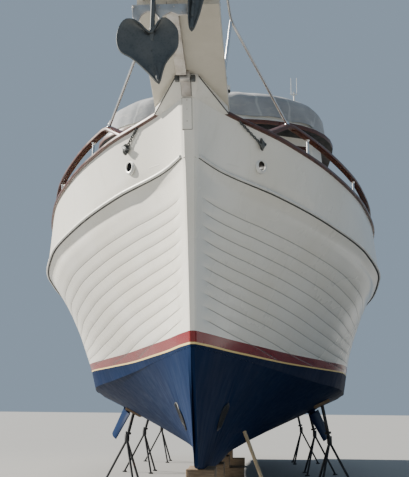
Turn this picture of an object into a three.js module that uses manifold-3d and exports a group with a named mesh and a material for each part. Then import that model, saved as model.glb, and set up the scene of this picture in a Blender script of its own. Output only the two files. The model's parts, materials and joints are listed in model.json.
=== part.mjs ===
import * as THREE from 'three';
import { mergeVertices } from 'three/addons/utils/BufferGeometryUtils.js';
import Module from 'manifold-3d';

// Trawler yacht ashore on keel blocks and jack stands. Millimetres, +Z up, bow towards -Y, port side +X.
// Inside the file Z is 0 at the lower edge of the boot stripe and Y is 0 where the stem meets that height.

const wasm = await Module();
wasm.setup();

const seatGap = 0.5;
const floorZ = -1800;
const hullLength = 13600;
const stripeHeight = 95;

const finishes = {
  gelcoat: [0xf1eee6, 0.35, 0],
  teak: [0x5a2417, 0.3, 0],
  steel: [0xc9ccd0, 0.25, 1],
  galvanised: [0x63676b, 0.6, 0.7],
  glass: [0x20272c, 0.1, 0],
  canvas: [0x8d9196, 0.95, 0],
  cushion: [0x8a7a5f, 0.9, 0],
  bronze: [0xa8763f, 0.35, 1],
  antifouling: [0x1c2f4f, 0.8, 0],
  timber: [0x8b7355, 0.9, 0],
  standPaint: [0x2a2c2e, 0.6, 0.3],
  engineGreen: [0x3d5347, 0.6, 0.3],
};

// Hull stations. s is the distance aft of the stem, the halves are half breadths, all in millimetres.
const hullColumns = ['s', 'capHalf', 'capZ', 'knuckleHalf', 'knuckleZ', 'stripeHalf',
  'chineHalf', 'chineZ', 'garboardHalf', 'garboardZ', 'keelHalf', 'keelZ'];
const hullStations = [
  [0, 54, 1940, 50, 1509, 24, 22, -30, 20, -800, 20, -1080],
  [300, 296, 1920, 238, 1481, 137, 128, -32, 52, -860, 30, -1120],
  [850, 829, 1880, 772, 1425, 300, 284, -42, 86, -960, 40, -1170],
  [1650, 1389, 1833, 1364, 1356, 575, 545, -62, 112, -1050, 55, -1220],
  [2650, 1868, 1787, 1920, 1270, 925, 885, -105, 145, -1120, 68, -1265],
  [3800, 2182, 1747, 2268, 1172, 1436, 1378, -175, 175, -1170, 75, -1305],
  [5100, 2300, 1722, 2368, 1088, 1965, 1905, -245, 195, -1205, 80, -1345],
  [6900, 2318, 1702, 2368, 1034, 2190, 2155, -305, 205, -1215, 82, -1385],
  [9300, 2300, 1702, 2345, 1042, 2210, 2185, -335, 195, -1105, 80, -1430],
  [11600, 2222, 1730, 2262, 1072, 2140, 2110, -335, 150, -910, 66, -1455],
  [12900, 2142, 1752, 2182, 1100, 2048, 2018, -325, 120, -760, 60, -1460],
  [13000, 2134, 1754, 2174, 1102, 2040, 2010, -324, 118, -745, 58, -770],
  [13600, 2086, 1760, 2126, 1114, 1988, 1958, -318, 110, -660, 50, -690],
];

// A smooth curve through one column of the table, by monotone cubic pieces.
function columnCurve(name) {
  const column = hullColumns.indexOf(name);
  const xs = hullStations.map((row) => row[0]);
  const ys = hullStations.map((row) => row[column]);
  const slopes = xs.slice(1).map((x, i) => (ys[i + 1] - ys[i]) / (x - xs[i]));
  const tangents = xs.map((x, i) => {
    if (i === 0) return slopes[0];
    if (i === xs.length - 1) return slopes[i - 1];
    if (slopes[i - 1] * slopes[i] <= 0) return 0;
    return 2 * slopes[i - 1] * slopes[i] / (slopes[i - 1] + slopes[i]);
  });
  return (s) => {
    let i = 0;
    while (i < xs.length - 2 && s > xs[i + 1]) i += 1;
    const width = xs[i + 1] - xs[i];
    const t = (s - xs[i]) / width;
    const rise = tangents[i] * width;
    const run = tangents[i + 1] * width;
    return ys[i] * (2 * t ** 3 - 3 * t ** 2 + 1) + rise * (t ** 3 - 2 * t ** 2 + t)
      + ys[i + 1] * (3 * t ** 2 - 2 * t ** 3) + run * (t ** 3 - t ** 2);
  };
}
const hullCurve = Object.fromEntries(hullColumns.slice(1).map((name) => [name, columnCurve(name)]));

// Stem and transom profiles: how far aft each lies at a height.
const stemRake = 0.39;
const forefoot = 0.00021;
const transomRake = 0.12;
const stemY = (z) => (z > 0 ? -stemRake * z : -stemRake * z + forefoot * z * z);
const transomY = (z) => hullLength - 40 + transomRake * z;

// The station whose point at height z lies at y.
const stationAt = (y, z) => THREE.MathUtils.clamp(hullLength * (y - stemY(z)) / (transomY(z) - stemY(z)),
  0, hullLength);

function hullPoint(s, half, z) {
  const share = s / hullLength;
  return new THREE.Vector3(half, stemY(z) * (1 - share) + transomY(z) * share, z);
}

// The rows of points down one side of the hull at a station, from the cap to the keel.
const stripHalfHeight = 15;
const roll = { share: 0.16, depth: 96, drop: 125 };
const hollow = { depth: 46, fade: 2200, share: 0.08 };
function sideRows(s) {
  const at = Object.fromEntries(Object.entries(hullCurve).map(([name, curve]) => [name, curve(s)]));
  const upper = stripHalfHeight / (at.capZ - at.knuckleZ);
  const stripTopHalf = at.knuckleHalf + (at.capHalf - at.knuckleHalf) * upper;
  const rollDepth = Math.min(at.knuckleHalf * roll.share, roll.depth);
  const rollZ = at.knuckleZ - roll.drop;
  const rollHalf = at.knuckleHalf - rollDepth;
  const flank = (share) => {
    const sag = Math.min(hollow.depth * Math.exp(-s / hollow.fade), at.stripeHalf * hollow.share);
    const half = rollHalf + (at.stripeHalf - rollHalf) * share - sag * Math.sin(Math.PI * share);
    return [half, rollZ * (1 - share)];
  };
  const chineFlat = THREE.MathUtils.clamp((s - 1650) / 3000, 0.05, 1);
  const topShare = 1 - stripeHeight / rollZ;
  return {
    cap: [at.capHalf, at.capZ],
    stripTop: [stripTopHalf, at.knuckleZ + stripHalfHeight],
    knuckle: [at.knuckleHalf, at.knuckleZ],
    stripLow: [at.knuckleHalf - rollDepth * 0.16, at.knuckleZ - stripHalfHeight],
    rollUpper: [at.knuckleHalf - rollDepth * 0.6, at.knuckleZ - 70],
    roll: [rollHalf, rollZ],
    flankUpper: flank(0.25),
    flankMiddle: flank(0.5),
    flankLower: flank(0.75),
    stripeTop: flank(topShare),
    stripe: [at.stripeHalf, 0],
    chine: [at.chineHalf, at.chineZ],
    chineInner: [at.chineHalf - 105 * chineFlat, at.chineZ - 70 * chineFlat - 10],
    garboard: [at.garboardHalf, at.garboardZ],
    keel: [at.keelHalf, at.keelZ],
  };
}

const stations = [0, 110, 220, 340, 500, 670, 850, 1050, 1250, 1450, 1650, 1950, 2250, 2650, 3050, 3450,
  3900, 4400, 5000, 5700, 6500, 7400, 8400, 9400, 10400, 11300, 12100, 12880, 13020, 13300, 13600];

// Turns a list of vertices and triangles into a geometry whose faces point out.
function solidGeometry(points, triangles) {
  let volume = 0;
  for (const [a, b, c] of triangles) {
    volume += points[a].dot(new THREE.Vector3().crossVectors(points[b], points[c]));
  }
  const positions = points.flatMap((point) => [point.x, point.y, point.z]);
  const geometry = new THREE.BufferGeometry();
  geometry.setAttribute('position', new THREE.Float32BufferAttribute(positions, 3));
  geometry.setIndex(triangles.flatMap(([a, b, c]) => (volume < 0 ? [a, c, b] : [a, b, c])));
  return geometry;
}

// Joins rings of equal count into a closed solid, with its ends triangulated in a plane given by two axes.
function loft(rings, capPlane = ['x', 'z']) {
  const count = rings[0].length;
  const points = rings.flat();
  const triangles = [];
  for (let i = 0; i < rings.length - 1; i += 1) {
    for (let j = 0; j < count; j += 1) {
      const next = (j + 1) % count;
      const [a, b, c, d] = [i * count + j, i * count + next, (i + 1) * count + next, (i + 1) * count + j];
      triangles.push([a, b, c], [a, c, d]);
    }
  }
  for (const end of [0, rings.length - 1]) {
    const flat = rings[end].map((point) => new THREE.Vector2(point[capPlane[0]], point[capPlane[1]]));
    const ringSign = Math.sign(THREE.ShapeUtils.area(flat));
    for (const [a, b, c] of THREE.ShapeUtils.triangulateShape(flat, [])) {
      const sameWay = Math.sign(THREE.ShapeUtils.area([flat[a], flat[b], flat[c]])) === ringSign;
      const forward = end === 0 ? !sameWay : sameWay;
      const [p, q, r] = [a, b, c].map((index) => index + end * count);
      triangles.push(forward ? [p, q, r] : [p, r, q]);
    }
  }
  return solidGeometry(points, triangles);
}

function toSolid(geometry) {
  const bare = geometry.clone();
  for (const name of ['normal', 'uv']) bare.deleteAttribute(name);
  const merged = mergeVertices(bare, 1e-3);
  const vertProperties = new Float32Array(merged.attributes.position.array);
  return new wasm.Manifold(new wasm.Mesh({ numProp: 3, vertProperties,
    triVerts: new Uint32Array(merged.index.array) }));
}

function toGeometry(solid) {
  const mesh = solid.getMesh();
  const geometry = new THREE.BufferGeometry();
  geometry.setAttribute('position', new THREE.BufferAttribute(new Float32Array(mesh.vertProperties), 3));
  geometry.setIndex(new THREE.BufferAttribute(new Uint32Array(mesh.triVerts), 1));
  return geometry;
}

const join = (...solids) => solids.reduce((sum, solid) => sum.add(solid));
const cut = (solid, ...tools) => tools.reduce((rest, tool) => rest.subtract(tool), solid);
// Keeps the largest body, without the slivers that a cut can leave beside it.
const mainBody = (solid) => solid.decompose().reduce((best,
  body) => (body.volume() > best.volume() ? body : best));
// Keeps a solid clear of its neighbours by the seat gap along the named axes.
const clearOf = (solid, neighbours, axes) => mainBody(neighbours.reduce((rest, neighbour) => (
  axes.reduce((left, axis) => [seatGap, -seatGap].reduce((kept, gap) => (
    kept.subtract(neighbour.translate(['x', 'y', 'z'].map((name) => (name === axis ? gap : 0))))), left),
  rest.subtract(neighbour))), solid));
const moved = (geometry, x, y, z) => geometry.clone().translate(x, y, z);

// A box given by its low and high corners.
function box(low, high) {
  const size = high.map((value, i) => value - low[i]);
  const centre = high.map((value, i) => (value + low[i]) / 2);
  return moved(new THREE.BoxGeometry(...size), ...centre);
}
const boxSolid = (low, high) => toSolid(box(low, high));

// A cylinder between two points.
function rod(from, to, radius, sides = 12, endRadius = radius) {
  const start = new THREE.Vector3(...from);
  const end = new THREE.Vector3(...to);
  const geometry = new THREE.CylinderGeometry(endRadius, radius, start.distanceTo(end), sides);
  const turn = new THREE.Quaternion().setFromUnitVectors(new THREE.Vector3(0, 1, 0),
    end.clone().sub(start).normalize());
  geometry.applyQuaternion(turn);
  const middle = start.add(end).multiplyScalar(0.5);
  return moved(geometry, middle.x, middle.y, middle.z);
}
const rodSolid = (...args) => toSolid(rod(...args));

// A bent tube through points: rods with a ball at each bend.
function tubeSolid(points, radius, sides = 10) {
  const parts = [];
  points.slice(1).forEach((point, i) => parts.push(rodSolid(points[i], point, radius, sides)));
  points.slice(1, -1).forEach((point) => {
    parts.push(toSolid(moved(new THREE.SphereGeometry(radius, sides, sides / 2), ...point)));
  });
  return join(...parts);
}

// A flat outline in two axes, pushed along the third between two values.
function prism(outline, axis, low, high) {
  const shape = new THREE.Shape(outline.map(([u, v]) => new THREE.Vector2(u, v)));
  const geometry = new THREE.ExtrudeGeometry(shape, { depth: high - low, bevelEnabled: false,
    curveSegments: 6 });
  geometry.translate(0, 0, low);
  if (axis === 'x') geometry.applyMatrix4(new THREE.Matrix4().set(0, 0, 1, 0, 1, 0, 0, 0, 0, 1, 0, 0, 0, 0,
    0, 1));
  if (axis === 'y') geometry.applyMatrix4(new THREE.Matrix4().set(1, 0, 0, 0, 0, 0, -1, 0, 0, 1, 0, 0, 0,
    0, 0, 1));
  return geometry;
}
const prismSolid = (...args) => toSolid(prism(...args));

const boat = new THREE.Group();
const materials = Object.fromEntries(Object.entries(finishes).map(([name, [color, roughness, metalness]]) => (
  [name, new THREE.MeshStandardMaterial({ color, roughness, metalness })])));

function place(name, shape, finish) {
  const geometry = shape.isBufferGeometry ? shape : toGeometry(shape);
  const mesh = new THREE.Mesh(geometry, materials[finish]);
  mesh.name = name;
  boat.add(mesh);
  return mesh;
}
const seat = (name, solid, finish, neighbours, axes = ['x', 'y', 'z']) => {
  const seated = clearOf(solid, neighbours, axes);
  place(name, seated, finish);
  return seated;
};

// Hull

const rowNames = Object.keys(sideRows(0));

function hullRing(s) {
  const rows = sideRows(s);
  const side = rowNames.map((name) => hullPoint(s, ...rows[name]));
  const mirror = side.map((point) => new THREE.Vector3(-point.x, point.y, point.z)).reverse();
  return [...side, ...mirror];
}

// The well inside the bulwarks: its floor is the deck, at the knuckle's height.
const bulwarkThick = 85;
const wellStart = 480;
const wellEnd = hullLength - 130;
function wellRing(s) {
  const rows = sideRows(s);
  const slant = Math.hypot(rows.cap[0] - sideRows(Math.max(s - 200, 0)).cap[0], 200) / 200;
  const thick = bulwarkThick * slant;
  const deckZ = rows.knuckle[1];
  const top = rows.cap[1];
  const topPoint = hullPoint(s, rows.cap[0] - thick, top);
  const lowPoint = hullPoint(s, rows.knuckle[0] - thick, deckZ);
  topPoint.z += 200;
  lowPoint.y = topPoint.y;
  return [topPoint, lowPoint, new THREE.Vector3(-lowPoint.x, lowPoint.y, lowPoint.z),
    new THREE.Vector3(-topPoint.x, topPoint.y, topPoint.z)];
}
const wellStations = [wellStart, ...stations.filter((s) => s > wellStart + 100 && s < wellEnd - 100), wellEnd];

const hawse = { s: 655, z: 1622, radius: 48, ringRadius: 76 };
const tunnel = { y: 1560, z: -640, radius: 125 };
const sole = { halfWidth: 1480, front: 3250, aft: 7850, z: 1010 };
const engineBay = { halfWidth: 780, front: 4600, aft: 7300, z: -380 };
const aftWell = { halfWidth: 1330, front: 8350, aft: 11350, z: 700 };
const foreWell = { halfWidth: 560, front: 1350, aft: 2850, z: 1000 };
const aperture = { front: 11850, aft: 12820, low: -1400, shaftZ: -1050 };
const rudderStock = { y: 12560, radius: 32, boreRadius: 35, top: -640 };
const fin = { x: 1560, y: 6300, span: 520, rootChord: 780, tipChord: 560, thick: 70, rest: 0.32, root: 46,
  bossOut: 14 };

// A point on the bottom between chine and keel, with the direction square to the bottom there.
const bottomAt = (side, x, y) => {
  const rows = sideRows(stationAt(y, -700));
  const [outX, outZ] = rows.chineInner;
  const [inX, inZ] = rows.garboard;
  const share = (outX - x) / (outX - inX);
  const normal = new THREE.Vector3(side * (outZ - inZ), 0, inX - outX).normalize();
  return { point: new THREE.Vector3(side * x, y, outZ + (inZ - outZ) * share), normal };
};

const hawsePoint = (side) => {
  const rows = sideRows(hawse.s);
  const share = (hawse.z - rows.knuckle[1]) / (rows.cap[1] - rows.knuckle[1]);
  const half = rows.knuckle[0] + (rows.cap[0] - rows.knuckle[0]) * share;
  const point = hullPoint(hawse.s, half, hawse.z);
  return new THREE.Vector3(point.x * side, point.y, point.z);
};
const hawseNormal = (side) => {
  const ahead = sideRows(hawse.s - 220);
  const behind = sideRows(hawse.s + 220);
  const slope = (behind.cap[0] - ahead.cap[0]) / 440;
  return new THREE.Vector3(side, -slope, -0.12).normalize();
};
function hawseRod(side, reachIn, reachOut, radius, sides = 20) {
  const centre = hawsePoint(side);
  const normal = hawseNormal(side);
  const from = centre.clone().addScaledVector(normal, -reachIn);
  const to = centre.clone().addScaledVector(normal, reachOut);
  return rodSolid(from.toArray(), to.toArray(), radius, sides);
}

let hull = toSolid(loft(stations.map(hullRing)));
hull = cut(hull,
  toSolid(loft(wellStations.map(wellRing))),
  boxSolid([-sole.halfWidth, sole.front, sole.z - 60], [sole.halfWidth, sole.aft, 1600]),
  boxSolid([-engineBay.halfWidth, engineBay.front, engineBay.z], [engineBay.halfWidth, engineBay.aft, 1600]),
  boxSolid([-aftWell.halfWidth, aftWell.front, aftWell.z], [aftWell.halfWidth, aftWell.aft, 1600]),
  boxSolid([-foreWell.halfWidth, foreWell.front, foreWell.z], [foreWell.halfWidth, foreWell.aft, 1600]),
  rodSolid([-1200, tunnel.y, tunnel.z], [1200, tunnel.y, tunnel.z], tunnel.radius, 24),
  hawseRod(1, 320, 200, hawse.radius),
  hawseRod(-1, 320, 200, hawse.radius),
  prismSolid([[aperture.front + 190, -700], [aperture.front, -900], [aperture.front, aperture.low],
    [aperture.aft + 400, aperture.low], [aperture.aft + 400, -700]], 'x', -300, 300));
hull = cut(hull, rodSolid([0, rudderStock.y, -1000], [0, rudderStock.y, rudderStock.top + 40],
  rudderStock.boreRadius, 32));
for (const side of [1, -1]) {
  const { point, normal } = bottomAt(side, fin.x, fin.y);
  const along = (distance) => point.clone().addScaledVector(normal, distance).toArray();
  hull = join(hull, rodSolid(along(-60), along(fin.bossOut), 88, 20));
}

// The hull, its two bulwarks and the shoe that carries the rudder's heel are separate mouldings and castings.
const deckJoint = { rise: 6, reach: 400, top: 2600 };
const overDeck = (gap) => toSolid(loft([-400, ...wellStations, hullLength + 400].map((s) => {
  const inside = THREE.MathUtils.clamp(s, 0, hullLength);
  const rows = sideRows(inside);
  const y = hullPoint(inside, rows.cap[0], rows.cap[1]).y + s - inside;
  const low = rows.knuckle[1] + deckJoint.rise + gap;
  const half = rows.cap[0] + deckJoint.reach;
  return [[half, low], [half, deckJoint.top], [-half, deckJoint.top], [-half, low]].map(([x,
    z]) => new THREE.Vector3(x, y, z));
})));
const bulwarks = hull.intersect(overDeck(seatGap));
const shoe = { front: 11550, reach: 300, low: -1700, aft: 13400 };
const shoeBox = (gap) => boxSolid([-shoe.reach, shoe.front - gap, shoe.low], [shoe.reach, shoe.aft,
  aperture.low + gap]);
const rudderShoe = mainBody(hull.intersect(shoeBox(0)));
hull = mainBody(cut(hull, overDeck(0), shoeBox(seatGap)));
place('hull', hull, 'gelcoat');
const sideBox = (side) => boxSolid([Math.min(side * seatGap, side * 4000), -4000, 0],
  [Math.max(side * seatGap, side * 4000), 16000, 4000]);
const bulwarkPort = mainBody(bulwarks.intersect(sideBox(1)));
const bulwarkStarboard = mainBody(bulwarks.intersect(sideBox(-1)));
place('bulwark_port', bulwarkPort, 'gelcoat');
place('bulwark_starboard', bulwarkStarboard, 'gelcoat');
place('rudder_shoe', rudderShoe, 'bronze');
const shell = [hull, bulwarkPort, bulwarkStarboard, rudderShoe];
const deckHeight = (y) => hullCurve.knuckleZ(stationAt(y, 1300));

// A band that follows one row of the hull on both sides and closes across the transom.
// Its section is a list of [out, up] offsets, and its foot lies on the row or on two rows.
// Where it is given, lift raises the whole section, and extra lists more stations near the start.
function band(rowName, section, startS, lift = () => 0, extra = []) {
  const last = extra.at(-1) ?? startS;
  const along = [startS, ...extra, ...stations.filter((s) => s > last + 60)];
  const sides = [1, -1].map((side) => {
    const rings = along.map((s) => {
      const rows = sideRows(s);
      const near = sideRows(Math.max(s - 150, 0));
      const far = sideRows(Math.min(s + 150, hullLength));
      const slope = (far[rowName][0] - near[rowName][0]) / 300;
      const widen = Math.hypot(1, slope);
      return section.map(([out, up, foot]) => {
        const [half, z] = rows[foot ?? rowName];
        const point = hullPoint(s, half + out * widen, z);
        return new THREE.Vector3(side * point.x, point.y, point.z + up + lift(s));
      });
    });
    rings.push(rings.at(-1).map((point) => new THREE.Vector3(point.x, point.y + 34, point.z)));
    return toSolid(loft(side > 0 ? rings : rings.map((ring) => [...ring].reverse())));
  });
  const rows = sideRows(hullLength);
  const across = section.map(([out, up, foot]) => {
    const [, z] = rows[foot ?? rowName];
    return [transomY(z) + out, z + up + lift(hullLength)];
  });
  const half = rows[rowName][0] + 20;
  return join(...sides, prismSolid(across, 'x', -half, half));
}

place('rub_strip', band('knuckle', [
  [seatGap, 0, 'stripTop'], [seatGap, 0, 'knuckle'], [seatGap, 0, 'stripLow'],
  [12, 0, 'stripLow'], [19, 0, 'knuckle'], [12, 0, 'stripTop']], 40), 'steel');

const capThick = 38;
const capStart = 290;
const capRail = band('cap', [
  [28, seatGap], [28, capThick], [-118, capThick], [-118, seatGap]], capStart);
place('cap_rail', capRail, 'teak');

// The teak handrail above the cap, carried by a flat bar with its stanchions. Its fore end slopes down
// to the cap.
const railRise = 240;
const railInset = 45;
const railEnd = { tip: 700, foot: 745, shoulder: 970, crest: 1040, shoulderDrop: 18 };
const railLift = (s) => {
  const low = capThick + seatGap - railRise;
  if (s <= railEnd.foot) return low;
  if (s >= railEnd.crest) return 0;
  if (s <= railEnd.shoulder) {
    return THREE.MathUtils.mapLinear(s, railEnd.foot, railEnd.shoulder, low, -railEnd.shoulderDrop);
  }
  return THREE.MathUtils.mapLinear(s, railEnd.shoulder, railEnd.crest, -railEnd.shoulderDrop, 0);
};
const railThick = 40;
const handrail = band('cap', [
  [-railInset + 34, railRise], [-railInset + 34, railRise + 26], [-railInset + 12, railRise + railThick],
  [-railInset - 12, railRise + railThick], [-railInset - 34, railRise + 26], [-railInset - 34, railRise]],
railEnd.tip, railLift, [railEnd.foot, railEnd.shoulder, railEnd.crest]);
place('handrail', handrail, 'teak');

const stanchionStations = [1270, 2390, 4100, 5800, 7500, 9200, 10900, 12600];
const sternStanchionX = 720;
const railBar = band('cap', [
  [-railInset + 15, railRise - 7], [-railInset + 15, railRise + 2], [-railInset - 15, railRise + 2],
  [-railInset - 15, railRise - 7]], railEnd.crest + 20);
const stanchion = (x, y, z) => join(
  rodSolid([x, y, z + capThick - 3], [x, y, z + railRise - 4], 13, 8),
  rodSolid([x, y, z + capThick - 3], [x, y, z + capThick + 14], 34, 12));
const stanchions = [1, -1].flatMap((side) => [
  ...stanchionStations.map((s) => {
    const [half, z] = sideRows(s).cap;
    const near = sideRows(s - 150).cap[0];
    const far = sideRows(s + 150).cap[0];
    const foot = hullPoint(s, half - railInset * Math.hypot(1, (far - near) / 300), z);
    return stanchion(foot.x * side, foot.y, z);
  }),
  stanchion(side * sternStanchionX, transomY(hullCurve.capZ(hullLength)) - railInset,
    hullCurve.capZ(hullLength)),
]);
seat('rail_frame', join(railBar, ...stanchions), 'steel', [handrail, capRail], ['z']);

// Pulpit platform over the stem, on its raised base.
const platform = { slope: 0.141, rootY: -300, rootZ: 1978, tipY: -1760, rootHalf: 328, tipHalf: 290,
  thick: 62 };
const platformZ = (y) => platform.rootZ + (platform.rootY - y) * platform.slope;
const platformHalf = (y) => {
  const share = (platform.rootY - y) / (platform.rootY - platform.tipY);
  return platform.rootHalf + (platform.tipHalf - platform.rootHalf) * share;
};
const platformRing = (y) => {
  const low = platformZ(y);
  const half = platformHalf(y);
  const high = low + platform.thick;
  return [[half, low], [half, high], [-half, high], [-half, low]].map(([x, z]) => new THREE.Vector3(x, y, z));
};
const platformSolid = toSolid(loft([platform.rootY, platform.tipY].map(platformRing)));
place('pulpit_platform', platformSolid, 'gelcoat');

// The base stands on the sheer. Its edge runs straight from the cap rail's end to the stem head.
const base = { edgeAft: [324, -446, 1926], edgeFront: [92, -930, 2048], steps: 5 };
const baseRing = (share) => {
  const [half, z] = sideRows(capStart * share).cap;
  const foot = hullPoint(capStart * share, half, z);
  const [edgeX, edgeY, edgeZ] = base.edgeFront.map((value, i) => value + (base.edgeAft[i] - value) * share);
  const top = platformZ(edgeY) - seatGap;
  return [[half, foot.y, z + seatGap], [edgeX, edgeY, edgeZ], [edgeX - 8, edgeY, top], [8 - edgeX, edgeY, top],
    [-edgeX, edgeY, edgeZ], [-half, foot.y, z + seatGap]].map(([x, y, height]) => new THREE.Vector3(x, y,
      height));
};
const baseShares = Array.from({ length: base.steps + 1 }, (unused, i) => i / base.steps);
const pulpitBase = seat('pulpit_base', toSolid(loft(baseShares.map(baseRing))), 'gelcoat', [...shell,
  platformSolid, capRail]);

// Stem plates on the flat face of the stem and, above the sheer, on the front of the base.
const stemPlate = { x: -16, half: 40, thick: 9, low: 1700, seam: 1936, top: 2046 };
const baseFrontY = (z) => THREE.MathUtils.mapLinear(z, hullCurve.capZ(0), base.edgeFront[2],
  stemY(hullCurve.capZ(0)), base.edgeFront[1]);
const stemPlates = [[stemPlate.low, stemPlate.seam + 4, stemY], [stemPlate.seam, stemPlate.top, baseFrontY]]
  .map(([low, high, faceY]) => prismSolid(
    [[faceY(low) + 20, low], [faceY(low) - stemPlate.thick, low], [faceY(high) - stemPlate.thick, high],
      [faceY(high) + 20, high]],
    'x', stemPlate.x - stemPlate.half, stemPlate.x + stemPlate.half));
const stemBlock = boxSolid([stemPlate.x - 42, base.edgeFront[1] - 62, 1996],
  [stemPlate.x + 42, base.edgeFront[1] + 6, platformZ(base.edgeFront[1]) - seatGap]);
seat('stem_plate', join(...stemPlates, stemBlock), 'steel', [...shell, pulpitBase, platformSolid]);

// Twin bow roller at the platform's front end.
const roller = { front: -1900, rear: -1480, cheek: 10, height: 150, wheelRadius: 42 };
const rollerBase = platformZ(platform.tipY) - 22;
const rollerParts = [-250, -30, 14, 234].map((x) => prismSolid(
  [[roller.rear, platformZ(roller.rear) + platform.thick + 2], [platform.tipY - 20, rollerBase + 60],
    [roller.front - 40, rollerBase + 20], [roller.front - 70, rollerBase + 110], [roller.front,
      rollerBase + 190],
    [roller.rear, platformZ(roller.rear) + platform.thick + 80]], 'x', x, x + roller.cheek));
rollerParts.push(rodSolid([-245, roller.front, rollerBase + 90], [240, roller.front, rollerBase + 90], 11,
  10));
rollerParts.push(rodSolid([-232, roller.front, rollerBase + 90], [-38, roller.front, rollerBase + 90],
  roller.wheelRadius, 16));
rollerParts.push(rodSolid([32, roller.front, rollerBase + 90], [226, roller.front, rollerBase + 90],
  roller.wheelRadius, 16));
rollerParts.push(toSolid(loft([roller.rear, platform.tipY].map((y) => {
  const z = platformZ(y) + platform.thick;
  return [[-255, z + seatGap], [-255, z + 8], [250, z + 8], [250, z + seatGap]].map(([x,
    h]) => new THREE.Vector3(x, y, h));
}))));
// A channel runs aft under the platform from the rollers to the stem head.
const channel = { x: -40, half: 40, depth: 58, front: -1800, aft: -1010 };
rollerParts.push(toSolid(loft([channel.front, channel.aft].map((y) => {
  const top = platformZ(y) - seatGap;
  return [[channel.half, top], [channel.half, top - channel.depth], [-channel.half, top - channel.depth],
    [-channel.half, top]]
    .map(([x, z]) => new THREE.Vector3(channel.x + x, y, z));
}))));
const bowRoller = seat('bow_roller', join(...rollerParts), 'steel', [platformSolid]);

// Plough anchors. Each shank lies aft over its roller, and the blade hangs ahead of it, a little turned.
// The outlines run from the notch to the tip down each side, as [x, z] from the shank's bend.
const plough = {
  notch: [-17, -510],
  tip: [55, -866],
  port: [[9, -507], [53, -422], [91, -405], [158, -475], [172, -554], [164, -624], [111, -697], [83, -752]],
  starboard: [[-47, -488], [-84, -444], [-157, -403], [-208, -445], [-228, -545], [-203, -634], [-135,
    -678], [-55, -749]],
  notchY: -66,
  tipY: -120,
  edgeY: -80,
  thick: 14,
  shankLow: -560,
};
function anchorSolid(wide, long, aside) {
  const at = ([x, z], y) => new THREE.Vector3(aside + x * wide, y, z * long);
  const wing = (outline) => {
    const front = [at(plough.notch, plough.notchY), ...outline.map((point) => at(point, plough.edgeY)),
      at(plough.tip, plough.tipY)];
    const rear = front.map((point) => new THREE.Vector3(point.x, point.y + plough.thick, point.z));
    return toSolid(loft([front, rear]));
  };
  const low = plough.shankLow * long;
  const shank = prismSolid([[-70, low], [-26, low], [-8, -60], [40, -18], [640, -10], [655, 30], [600, 45],
    [20, 40],
    [-40, 0], [-56, -60]], 'x', -13, 13);
  return join(wing(plough.port), wing(plough.starboard), shank);
}
const anchor = { y: -1990, z: platformZ(platform.tipY) + 126, starboardX: -135, portX: 129 };
const starboardAnchor = seat('anchor_starboard', anchorSolid(1, 1, 0).translate([anchor.starboardX,
  anchor.y, anchor.z]),
  'galvanised', [platformSolid, bowRoller]);
// The port anchor is drawn further in and stands nearly edge on.
seat('anchor_port', anchorSolid(0.5, 0.55, 55).translate([anchor.portX, anchor.y, anchor.z]), 'galvanised',
  [platformSolid, bowRoller, starboardAnchor]);

// Pulpit rail of bent tube round the platform, its ends down on the cap.
const tubeRadius = 13;
const pulpitKnee = { half: 349, y: -766, z: 2633 };
const pulpitFront = { half: 262, y: -1800, rise: 560 };
const pulpitPoints = (side) => {
  const [half, z] = sideRows(railEnd.shoulder).cap;
  const foot = hullPoint(railEnd.shoulder, half - railInset * 1.2, z);
  return {
    foot: [side * foot.x, foot.y, z + railRise - railEnd.shoulderDrop + railThick - 6],
    knee: [side * pulpitKnee.half, pulpitKnee.y, pulpitKnee.z],
    front: [side * pulpitFront.half, pulpitFront.y,
      platformZ(pulpitFront.y) + platform.thick + pulpitFront.rise],
  };
};
const pulpitLegs = [[pulpitKnee.y, 0], [-1680, 1]];
const middleRise = 95;
const pulpitParts = [1, -1].flatMap((side) => {
  const points = pulpitPoints(side);
  const start = new THREE.Vector3(...points.knee);
  const end = new THREE.Vector3(...points.front);
  const feet = pulpitLegs.map(([y]) => [side * (platformHalf(y) - 26), y, platformZ(y) + platform.thick]);
  const legs = pulpitLegs.map(([y], i) => {
    const top = start.clone().lerp(end, (y - start.y) / (end.y - start.y));
    const [x, , z] = feet[i];
    return join(rodSolid([x, y, z - 8], top.toArray(), tubeRadius, 8), rodSolid([x, y, z - 8], [x, y,
      z + 14], 26, 12));
  });
  const [rear, fore] = feet;
  const middle = rodSolid([rear[0], rear[1], rear[2] + middleRise], [fore[0], fore[1],
    fore[2] + 3 * middleRise], 11, 8);
  return [tubeSolid([points.foot, points.knee, points.front], tubeRadius, 8), middle, ...legs];
});
const leftFront = pulpitPoints(-1).front;
const rightFront = pulpitPoints(1).front;
const pulpitNose = [[0, leftFront[1] - 90, leftFront[2]]];
seat('pulpit_rail', join(...pulpitParts, tubeSolid([leftFront, ...pulpitNose, rightFront], tubeRadius, 8),
  ...[leftFront, rightFront].map((point) => toSolid(moved(new THREE.SphereGeometry(tubeRadius, 8, 4),
    ...point)))),
'steel', [capRail, handrail, platformSolid, bowRoller]);

// Windlass on the foredeck.
const windlass = { y: 420, half: 150 };
seat('windlass', join(
  boxSolid([-140, windlass.y - 150, 1380], [140, windlass.y + 150, deckHeight(windlass.y) + 150]),
  rodSolid([-230, windlass.y, 1600], [230, windlass.y, 1600], 70, 16),
  rodSolid([-60, windlass.y, 1600], [60, windlass.y, 1600], 110, 16)), 'galvanised', shell);

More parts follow.
